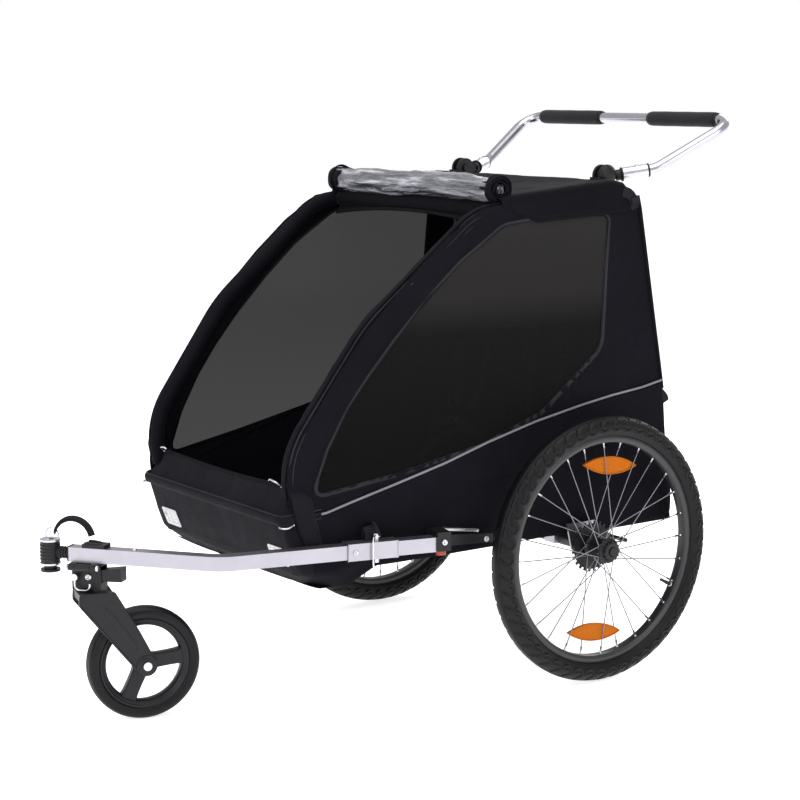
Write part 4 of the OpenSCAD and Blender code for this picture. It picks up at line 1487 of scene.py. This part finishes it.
# Box section with two braking flanges.
RIM_PROFILE = [(213.5, -12.4), (214.4, -10.4), (209, -9.6), (209, 9.6), (214.4, 10.4), (213.5, 12.4)] + \
    both_ways([(206, 12.2), (203.5, 12.0), (202.6, 11.2), (201, 11.0), (199.4, 8.5), (198.8, 4.5)],
              [(198.6, 0)])


SPOKES, SPOKE_OUTER, SPOKE_INNER = 28, 198.4, 19
REFLECTOR_TURN = math.radians(6)
# A reflector is a lens between two arcs: its place along the spoke plane, its half length and its arcs.
REFLECTOR_PLACE, REFLECTOR_HALF, REFLECTOR_ARC, REFLECTOR_CENTRE = 156, 61.5, 130.4, 114.6
for side, word in SIDES:
    body = word + "_wheel"
    centre = at(side * WHEEL.x, 0, WHEEL.z)
    axis = outward(side)
    put(tyre_mesh("tyre_tread_" + word, side), body, "tyre_rubber", "tyre_" + word)
    put(lathe("rim_hoop_" + word, RIM_PROFILE, centre, axis, RIM, 160), body, "rim_black", "rim_" + word)

    def place(p):
        # The wheel's own axes: z outwards along the axle, x down, y back.
        return centre + off(side * p.z, p.y, -p.x)

    nipples, collars = [], []
    for i, a in enumerate(full_turn(SPOKES)):
        z = 1.8 if i % 2 == 0 else -1.8
        lean = math.radians(50 if i % 4 < 2 else -50)
        outer_point = Vector((SPOKE_OUTER * math.cos(a), SPOKE_OUTER * math.sin(a), z))
        inner_point = Vector((SPOKE_INNER * math.cos(a + lean), SPOKE_INNER * math.sin(a + lean), z * 10))
        run = (inner_point - outer_point).normalized()
        start, end = place(outer_point + run * -1.5), place(outer_point + run * 13)
        nipples.append(tube("nipple", [start, start.lerp(end, 0.25), start.lerp(end, 0.3), end], 2.1, ZINC,
                            10,
                            scale=lambda t: 1.25 if t < 0.3 else 0.85))
        bend = [place(inner_point - run), place(inner_point),
                place(inner_point + Vector((0, 0, -4 if z > 0 else 4)))]
        collars.append(tube("elbow", bend, 1.35, SPOKE, 8))
    put(join(nipples, "nipples_" + word), body, "zinc_steel")
    put(join(collars, "spoke_heads_" + word), body, "zinc_steel")
    # Valve, on the rim's inner face.
    a = math.radians(118)
    ray = Vector((0, math.sin(a), math.cos(a)))
    foot = centre + ray * (199 * MM)
    stem = [foot - ray * (depth * MM) for depth in (0, 16, 17, 30, 31)]
    put(tube("valve_" + word, stem, 3.6, PLASTIC, 14,
             scale=lambda t: 1.0 if t < 0.3 else (0.8 if t < 0.9 else 0.55)),
        body, "black_plastic")
    nut = [(3.2, -1.5), (5.2, -1.5), (5.2, 1.5), (3.2, 1.5)]
    put(lathe("valve_nut_" + word, nut, foot - ray * (3 * MM), ray, ZINC, 6), body, "zinc_steel")
    # Hub: a dished cap and ribs outside the CAD hub.
    cap = [(9.2, 32.2), (15.4, 32.5), (16.9, 30.5), (17.3, 26), (17.3, 22.6), (22.8, 22.6), (23.4, 21.9),
           (23.4, 19.8),
           (22.6, 19.0), (19.6, 17.0), (18.6, 12.0), (18.0, 4), (18.0, -4), (18.6, -12), (19.6, -17),
           (22.6, -19),
           (23.4, -19.8), (23.4, -21.2), (22.4, -22.0), (17.4, -22.4), (17.4, -24.0)]
    put(lathe("hub_shell_" + word, cap, centre, axis, PLASTIC, 72, closed=False), body, "black_plastic")
    ribs = []
    for a in full_turn(12):
        ray = Vector((0, math.sin(a), math.cos(a)))
        path = [centre + ray * (radius * MM) + axis * (along * MM) for radius,
                along in ((17.4, 31.4), (17.6, 23.2))]
        ribs.append(tube("rib", path, 1.5, PLASTIC, 8))
    put(join(ribs, "hub_ribs_" + word), body, "black_plastic")
    # The raised rim of each reflector.
    for a, tag in ((0, "low"), (math.pi, "high")):
        ray = Vector((0, -math.sin(a + REFLECTOR_TURN), -math.cos(a + REFLECTOR_TURN)))
        run = ray.cross(X_AXIS)
        spot = centre + ray * (REFLECTOR_PLACE * MM) + axis * (2.9 * MM)
        line = []
        for t in full_turn(72):
            along = REFLECTOR_HALF * math.cos(t)
            tall = math.sqrt(REFLECTOR_ARC ** 2 - along ** 2) - REFLECTOR_CENTRE
            tall *= 1 if math.sin(t) > 0 else -1
            line.append(spot + run * (along * MM) + ray * (tall * MM))
        put(tube("reflector_rim_%s_%s" % (tag, word), line, 1.2, AMBER, 8, closed=True), body,
            "reflector_amber")

# ---------------------------------------------------------------- caster

CASTER_AXLE = middle("caster_axle")
CASTER_TURN = math.radians(14)
CASTER_AXIS = Vector((math.cos(CASTER_TURN), -math.sin(CASTER_TURN), 0))
CASTER_SIDE = UP.cross(CASTER_AXIS)
GROOVE = -0.9
CASTER_HALF = [(79.4, 16.0, 0), (84, 17.6, 0), (89.5, 18.6, 0), (94, 17.4, 0), (97, 14.4, 0), (98.7, 11.0, 0),
               (99.4, 8.4, 0), (99.5, 7.6, GROOVE), (99.6, 6.6, GROOVE), (99.7, 5.8, 0), (99.9, 2.4, 0),
               (99.8, 1.4, GROOVE)]
CASTER_SECTION = [(radius + lift, -along) for radius, along, lift in CASTER_HALF] + \
    [(radius + lift, along) for radius, along, lift in reversed(CASTER_HALF)]


rows = []
for a in full_turn(288):
    ray = CASTER_SIDE * math.cos(a) + UP * math.sin(a)
    rows.append([CASTER_AXLE + ray * (radius * MM) + CASTER_AXIS * (along * MM) for radius,
                 along in CASTER_SECTION])
put(grid("caster_tread", rows, TYRE, closed_rows=True, closed_cols=True), "caster_wheel", "tyre_rubber",
    "caster_tyre")
hoop = [(79.6, -15.6),
        (79.6, 15.6)] + both_ways([(76.5, 16.2), (75.2, 14.5), (72.5, 12.5), (70.0, 11.5), (67.6, 8.0)],
                                                 [(66.6, 0)])
put(lathe("caster_rim_hoop", hoop, CASTER_AXLE, CASTER_AXIS, FORK, 120), "caster_wheel", "fork_plastic")
hub = [(radius, -along) for radius, along in ((4.3, 20.5), (12, 20.5), (17, 19.2), (19.4, 16), (19.8, 6))]
hub += [(radius, -along) for radius, along in reversed(hub)]
put(lathe("caster_hub", hub, CASTER_AXLE, CASTER_AXIS, FORK, 64), "caster_wheel", "fork_plastic",
    "caster_rim")
for k in range(3):
    a = math.radians(95 + 120 * k)
    ray = CASTER_SIDE * math.sin(a) - UP * math.cos(a)
    ray_side = CASTER_AXIS.cross(ray).normalized()
    rows = []
    for t in (0, 0.08, 0.2, 0.4, 0.6, 0.8, 0.94, 1.0):
        flare = 1.0 + 0.16 * math.exp(-t * 9) + 0.2 * math.exp(-(1 - t) * 9)
        row = []
        for x, y in oblong(25, 20, 3.2, 4):
            thick = y * (0.92 + 0.1 * t) * (1 - 0.22 * math.exp(-(abs(x) / 7.5) ** 4))
            row.append(CASTER_AXLE + ray * (lerp(15, 68.5, t) * MM) + ray_side * (x * flare * MM)
                       + CASTER_AXIS * (thick * MM))
        rows.append(row)
    put(grid("caster_spoke_%d" % k, rows, FORK, closed_rows=True), "caster_wheel", "fork_plastic")

# ---------------------------------------------------------------- tow arm, coupler and their small parts

ARM_FRONT, ARM_BEND, ARM_REAR = Vector((29, -910, 300)), Vector((245, -738, 300)), Vector((324, -368, 300))
ARM_DIR = (ARM_BEND - ARM_FRONT).normalized()
BACK_DIR = (ARM_REAR - ARM_BEND).normalized()
ARM_SIDE = Vector((ARM_DIR.y, -ARM_DIR.x, 0))
BACK_SIDE = Vector((BACK_DIR.y, -BACK_DIR.x, 0))


def mm(v):
    return at(v.x, v.y, v.z)


def screw_head(name, place, out, radius, height, material, socket=0.5):
    """A domed screw head with a hexagon socket."""
    rows = [(0.01, height * 0.45), (radius * socket, height * 0.45), (radius * socket, height),
            (radius * 0.75, height),
            (radius * 0.97, height * 0.6), (radius, 0), (radius, -0.4)]
    return lathe(name, rows, place, out, material, 24, closed=False)


def arm_place(along, side, up):
    return mm(ARM_FRONT + ARM_DIR * along + ARM_SIDE * side + UP * up)


def rear_arm_place(along, side, up):
    """Counted forwards from the tow arm's rear end."""
    return mm(ARM_REAR - BACK_DIR * along + BACK_SIDE * side + UP * up)


for along, tag in ((60, "front"), (118, "rear")):
    put(screw_head("arm_rivet_" + tag, arm_place(along, 0, 12.4), UP, 4.2, 2.2, ZINC, 0.3), "base",
        "zinc_steel")
put(screw_head("receiver_bolt", rear_arm_place(140, 15.2, 0), BACK_SIDE, 5.0, 2.6, ZINC), "base",
    "zinc_steel")
put(screw_head("clamp_bolt", rear_arm_place(-26, 17.2, 4), BACK_SIDE, 5.5, 3.0, ZINC), "base", "zinc_steel")
for along, tag in ((153.6, "front"), (61.4, "rear")):
    lip = [rear_arm_place(along, x, y) for x, y in oblong(30.8, 30.8, 3.0, 5)]
    put(tube("receiver_lip_" + tag, lip, 0.9, ALUMINIUM, 8, closed=True), "base", "bare_aluminium")
end_plug = [arm_place(-0.8, x, y) for x, y in oblong(25.4, 25.4, 3.0, 5)]
put(tube("arm_end_collar", end_plug, 1.1, PLASTIC, 8, closed=True), "base", "black_plastic")

# Coupler: ribs round its body, a rubber bellows neck and the ring that the safety strap hangs from.
COUPLER = ARM_FRONT - ARM_DIR * 40
rib = [(16.9, -1.4), (17.9, -0.9), (17.9, 0.9), (16.9, 1.4)]
for k in range(5):
    put(lathe("coupler_rib_%d" % k, rib, mm(COUPLER + UP * (6 * k - 12)), UP, PLASTIC, 64), "base",
        "black_plastic")
neck = [(9.6 + 1.5 * math.cos(t * math.tau * 4), lerp(17, 38.5, t)) for t in evenly(0, 1, 40)]
put(lathe("coupler_neck", neck, mm(COUPLER), ARM_DIR, PLASTIC, 40, closed=False), "base", "black_plastic")


def upright_arc(centre, radius, turns, lower=0.0):
    """Places round an arc that stands upright along the arm."""
    return [mm(centre + ARM_DIR * (radius * math.cos(a)) + UP * (radius * math.sin(a) - lower))
            for a in turns]


dee = upright_arc(COUPLER + UP * 30 + ARM_DIR * 4, 12, full_turn(40))
put(tube("coupler_ring", dee, 1.5, ZINC, 12, closed=True), "base", "zinc_steel")
arc = upright_arc(ARM_FRONT + ARM_DIR * 4 + UP * 25, 36.0, [math.radians(a) for a in evenly(12, 168, 59)],
                  0.5)
put(sweep("safety_strap_web", arc, oblong(12.5, 2.2, 0.9, 3), WEBBING), "base", "webbing", "safety_strap")
put(sweep("safety_strap_edge", [p + off(0, 0, 0.6) for p in arc[3:-3]], oblong(8, 2.4, 0.9, 3), WEBBING),
    "base",
    "webbing")
for shift, tag in ((-9.5, "far"), (9.5, "near")):
    prong = [arm_place(30, shift, 20.5), arm_place(44, shift, 20), arm_place(60, shift * 0.7, 18)]
    put(sweep("clip_prong_" + tag, spline(prong, 5), oblong(4, 5, 1.6, 3), PLASTIC), "base", "black_plastic")

# Pin bail with its collar, and the tether from the pin to the tub.
tether = [rear_arm_place(*place) for place in ((96, 16, 26), (100, 10, 40), (96, -14, 44), (90, -30, 36))]
strap = sweep("pin_tether", spline(tether, 8), oblong(9, 1.6, 0.7, 2), WEBBING)
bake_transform(strap, "base", "receiver_pin", start=tether[-1], end=tether[0])
tab = [rear_arm_place(*place)
       for place in ((104, -24, 16), (104, -21, 30), (104, -14, 38), (103, -7, 32), (103, -5, 17))]
put(sweep("receiver_tab", spline(tab, 8), oblong(24, 2.2, 1, 3), WEBBING), "base", "webbing")

# Lever rod over the clamp, and the bolts of the gusset plate.
rod_line = smoothed(((306, -340, 318), (309.5, -318, 317), (309.5, -260, 309), (308.5, -246, 306)), 6)
put(tube("lever_rod", rod_line, 3.2, ZINC, 14), "base", "zinc_steel")
for y, z, tag in ((-226, 288, "rear"), (-331, 304, "front")):
    put(screw_head("gusset_bolt_" + tag, at(308.2, y, z), X_AXIS, 5.2, 3.0, ZINC), "base", "zinc_steel")

# Caster head: bolt cap, the caps on the hinge pin, a stiffening flange on each fork leg.
CASTER = ARM_FRONT + ARM_DIR * 32


def caster_place(x, y, z):
    """x back along the arm, y to its inner side, z up from the ground."""
    inner = Vector((-ARM_DIR.y, ARM_DIR.x, 0))
    p = CASTER + ARM_DIR * x + inner * y
    return at(p.x, p.y, z)


put(screw_head("bracket_bolt", caster_place(4, -10.2, 262), ARM_SIDE, 6.0, 3.2, ZINC), "caster_bracket",
    "zinc_steel")
cap = [(0.01, 2.6), (3.4, 2.4), (5.2, 1.2), (5.4, 0), (5.4, -1.2)]
for way, tag in ((-1, "front"), (1, "rear")):
    put(lathe("hinge_cap_" + tag, cap, caster_place(way * 27.2, -24, 281), ARM_DIR * way, ZINC, 24,
              closed=False),
        "base", "zinc_steel")
FORK_DIR = Vector((math.sin(CASTER_TURN), math.cos(CASTER_TURN), 0))


def fork_place(x, y, z):
    """x across the wheel, y from the swivel axis towards the caster's axle."""
    p = CASTER + FORK_DIR * y + CASTER_AXIS * x
    return at(p.x, p.y, z)


# The outline of a fork leg as (y, z), with the radius of each of its corners.
LEG = (((-21, 233), 4), ((-22, 216), 10), ((80, 88), 8), ((92, 84), 10), ((108, 102), 12), ((78, 163), 60),
       ((38, 233), 4))
for side, word in SIDES:
    corners = [fork_place(side * 27.8, y, z) for (y, z), _ in LEG]
    edge = rounded(corners, [radius * MM for _, radius in LEG], per=6)
    put(tube("fork_edge_" + word, resample(edge, 120), 2.4, FORK, 12), "caster_fork", "fork_plastic")
    line = [fork_place(side * 29.2, lerp(16, 76, t), lerp(212, 130, t)) for t in evenly(0, 1, 24)]
    put(sweep("fork_rib_" + word, line, oblong(12, 1.6, 0.7, 3), FORK, up=CASTER_AXIS,
              scale=grown(0.3, 0.35)), "caster_fork", "fork_plastic")
    boss = [(8.5, 1.6), (15.0, 1.2), (18.4, 0), (19.0, -2.4), (18.4, -4.6)]
    put(lathe("fork_boss_" + word, boss, CASTER_AXLE + CASTER_AXIS * (side * 30.4 * MM), CASTER_AXIS * side,
              FORK, 60,
              closed=False), "caster_fork", "fork_plastic")
crown = [fork_place(x, y + 4, 234.6) for x, y in oblong(56, 50, 8, 6)]
put(tube("fork_crown_rim", crown, 2.0, FORK, 10, closed=True), "caster_fork", "fork_plastic")

# ---------------------------------------------------------------- push handle

GRIP_Y, GRIP_Z = 360, 1030
KNOB_Y, KNOB_Z = 112, 928
HANDLE_LOW, HANDLE_MIDDLE, HANDLE_END = Vector((226, 146, 928)), Vector((262, 206, 939)), Vector((317, GRIP_Y,
                                                                                                  GRIP_Z))
HANDLE_RUN = (HANDLE_MIDDLE - HANDLE_LOW).normalized()
half_line = [HANDLE_LOW + HANDLE_RUN * 12, HANDLE_MIDDLE, HANDLE_END]
line = arc_path(half_line + [Vector((-p.x, p.y, p.z)) for p in reversed(half_line)], [60, 38, 38, 60], 20)
put(tube("handle_bar", [mm(p) for p in line], 10.5, HANDLE, 36), "push_handle", "handle_tube", "handlebar")
for side, word in SIDES:
    axis = outward(side)
    profile = [(10.6, 76)]
    for t in evenly(0, 1, 60):
        x = lerp(76, 264, t)
        profile.append((14.5 - 1.6 * math.exp(-min(t, 1 - t) * 90) + 0.12 * math.sin(x * 1.9), x))
    profile.append((10.6, 264))
    put(lathe("foam_sleeve_" + word, profile, at(0, GRIP_Y, GRIP_Z), axis, FOAM, 48), "push_handle",
        "foam_grip",
        *(["handlebar_grips"] if side > 0 else []))
    for x, tag in ((74.5, "inner"), (265.5, "outer")):
        ring = [(10.6, -1.6), (12.4, -1.4), (13.2, 0), (12.4, 1.4), (10.6, 1.6)]
        put(lathe("grip_ring_%s_%s" % (tag, word), ring, at(side * x, GRIP_Y, GRIP_Z), axis, PLASTIC, 40),
            "push_handle",
            "black_plastic")
    low = Vector((side * HANDLE_LOW.x, HANDLE_LOW.y, HANDLE_LOW.z))
    run = Vector((side * HANDLE_RUN.x, HANDLE_RUN.y, HANDLE_RUN.z))
    for along, radius, tag in ((56.5, 12.6, "upper"), (5.5, 13.2, "lower")):
        ring = [(10.6, -2.2), (radius, -1.8), (radius + 0.6, 0), (radius, 1.8), (10.6, 2.2)]
        put(lathe("sleeve_ring_%s_%s" % (tag, word), ring, mm(low + run * along), run, PLASTIC, 40),
            "push_handle",
            "black_plastic")
    above = run.cross(axis).normalized()
    above *= 1 if above.z > 0 else -1
    put(screw_head("sleeve_button_" + word, mm(low + run * 34 + UP * 12.2), above, 4.4, 2.2, ZINC, 0.2),
        "push_handle",
        "zinc_steel")
    dome = [(0.01, 6.0), (8, 5.6), (14, 4.2), (18.2, 1.6), (19.6, -1.5), (20.4, -5.5)]
    put(lathe("pivot_dome_" + word, dome, at(side * 234.2, KNOB_Y, KNOB_Z), axis, PLASTIC, 56, closed=False),
        "upper_frame", "black_plastic")
    teeth = []
    for a in full_turn(24):
        root = at(side * 231, KNOB_Y, KNOB_Z) + off(0, 19.4 * math.cos(a), 19.4 * math.sin(a))
        teeth.append(tube("tooth", [root - axis * (3.0 * MM), root + axis * (2.4 * MM)], 1.3, PLASTIC, 6))
    put(join(teeth, "pivot_grip_" + word), "upper_frame", "black_plastic")

# ---------------------------------------------------------------- hardware sewn to the nose

SLOPE, FACE = Vector((0, -14, 35)).normalized(), Vector((0, -35, -14)).normalized()
for side, word in SIDES:
    # Webbing flap that closes the hoop's foot over the tub's corner.
    flap = [(249, -588, 405), (256, -585, 396), (260, -583, 378), (262, -578, 352), (262.5, -570, 330),
            (262, -562, 315),
            (260, -556, 308)]
    rows = [[at(side * (x + 3.0 - 0.012 * w * w), y + w, z - w * 0.12) for w in evenly(-20, 20, 8)]
            for x, y, z in spline(flap, 5)]
    obj = grid("corner_flap_" + word, rows, NOSE)
    if side > 0:
        obj.data.flip_normals()
    put(thicken(obj, 2.6, 1.0), "base", "side_fabric")
    for j, tag in ((1, "front"), (7, "rear")):
        line = [row[j] + off(side * 2.9, 0, 0) for row in rows]
        put(stitches("flap_stitches_%s_%s" % (tag, word), line, outward(side)), "base", "side_fabric")
    # Wire loop under the bow roll and a hook over the sill.
    for name, radius, wire in (
            ("bow_loop_", 1.5,
             ((228, -607, 355), (237, -617, 350), (250, -624, 347), (261, -616, 347), (258, -601, 351))),
            ("sill_hook_", 1.6, ((212, -598, 410), (211, -604, 416), (206, -608, 419), (193, -609, 421),
                                 (186, -607, 418)))):
        put(tube(name + word, smoothed(wire, 6, side), radius, ZINC, 10), "base", "zinc_steel")
    # Frame of the nose reflector, and the ribs in its face.
    centre = Vector((side * 194, -583.5, 271)) + SLOPE * 17 + FACE * 4.9
    ring = [mm(centre + X_AXIS * x + SLOPE * y) for x, y in oblong(51, 35, 4, 5)]
    put(tube("reflector_frame_" + word, ring, 1.2, CLEAR, 8, closed=True), "base", "reflector_white")
    for k in range(13):
        foot = centre + X_AXIS * (3.6 * (k - 6)) - FACE * 0.2
        rib = [mm(foot - SLOPE * 14), mm(foot + SLOPE * 14)]
        put(tube("reflector_rib_%d_%s" % (k, word), rib, 0.8, CLEAR, 6), "base", "reflector_white")

# Pocket that hangs under the nose.
rows = []
for v in evenly(0, 1, 16):
    y = lerp(-556, -458, v)
    z = table([(-556, 233), (-540, 227), (-490, 227), (-458, 246)], y) + 1.0
    depth = 5.0 * arch(v) ** 0.6
    row = [at(x, y, z - depth * (1 - (abs(x) / 240) ** 6)) for x in evenly(-240, 240, 60)]
    for q in row:
        q.z += ripple(q, 50, 2.0, 61) * MM
    rows.append(row)
put(thicken(grid("nose_pocket", rows, NOSE), 1.6), "base", "nose_fabric")

# Tab on the trunk's upper corners.
for side, word in SIDES:
    tab = smoothed(((296, 188, 522), (298, 197, 516), (298, 207, 506), (297, 211, 498)), 5, side)
    webbing("trunk_tab_" + word, tab, 18, 2.0, 0.9, up=X_AXIS)
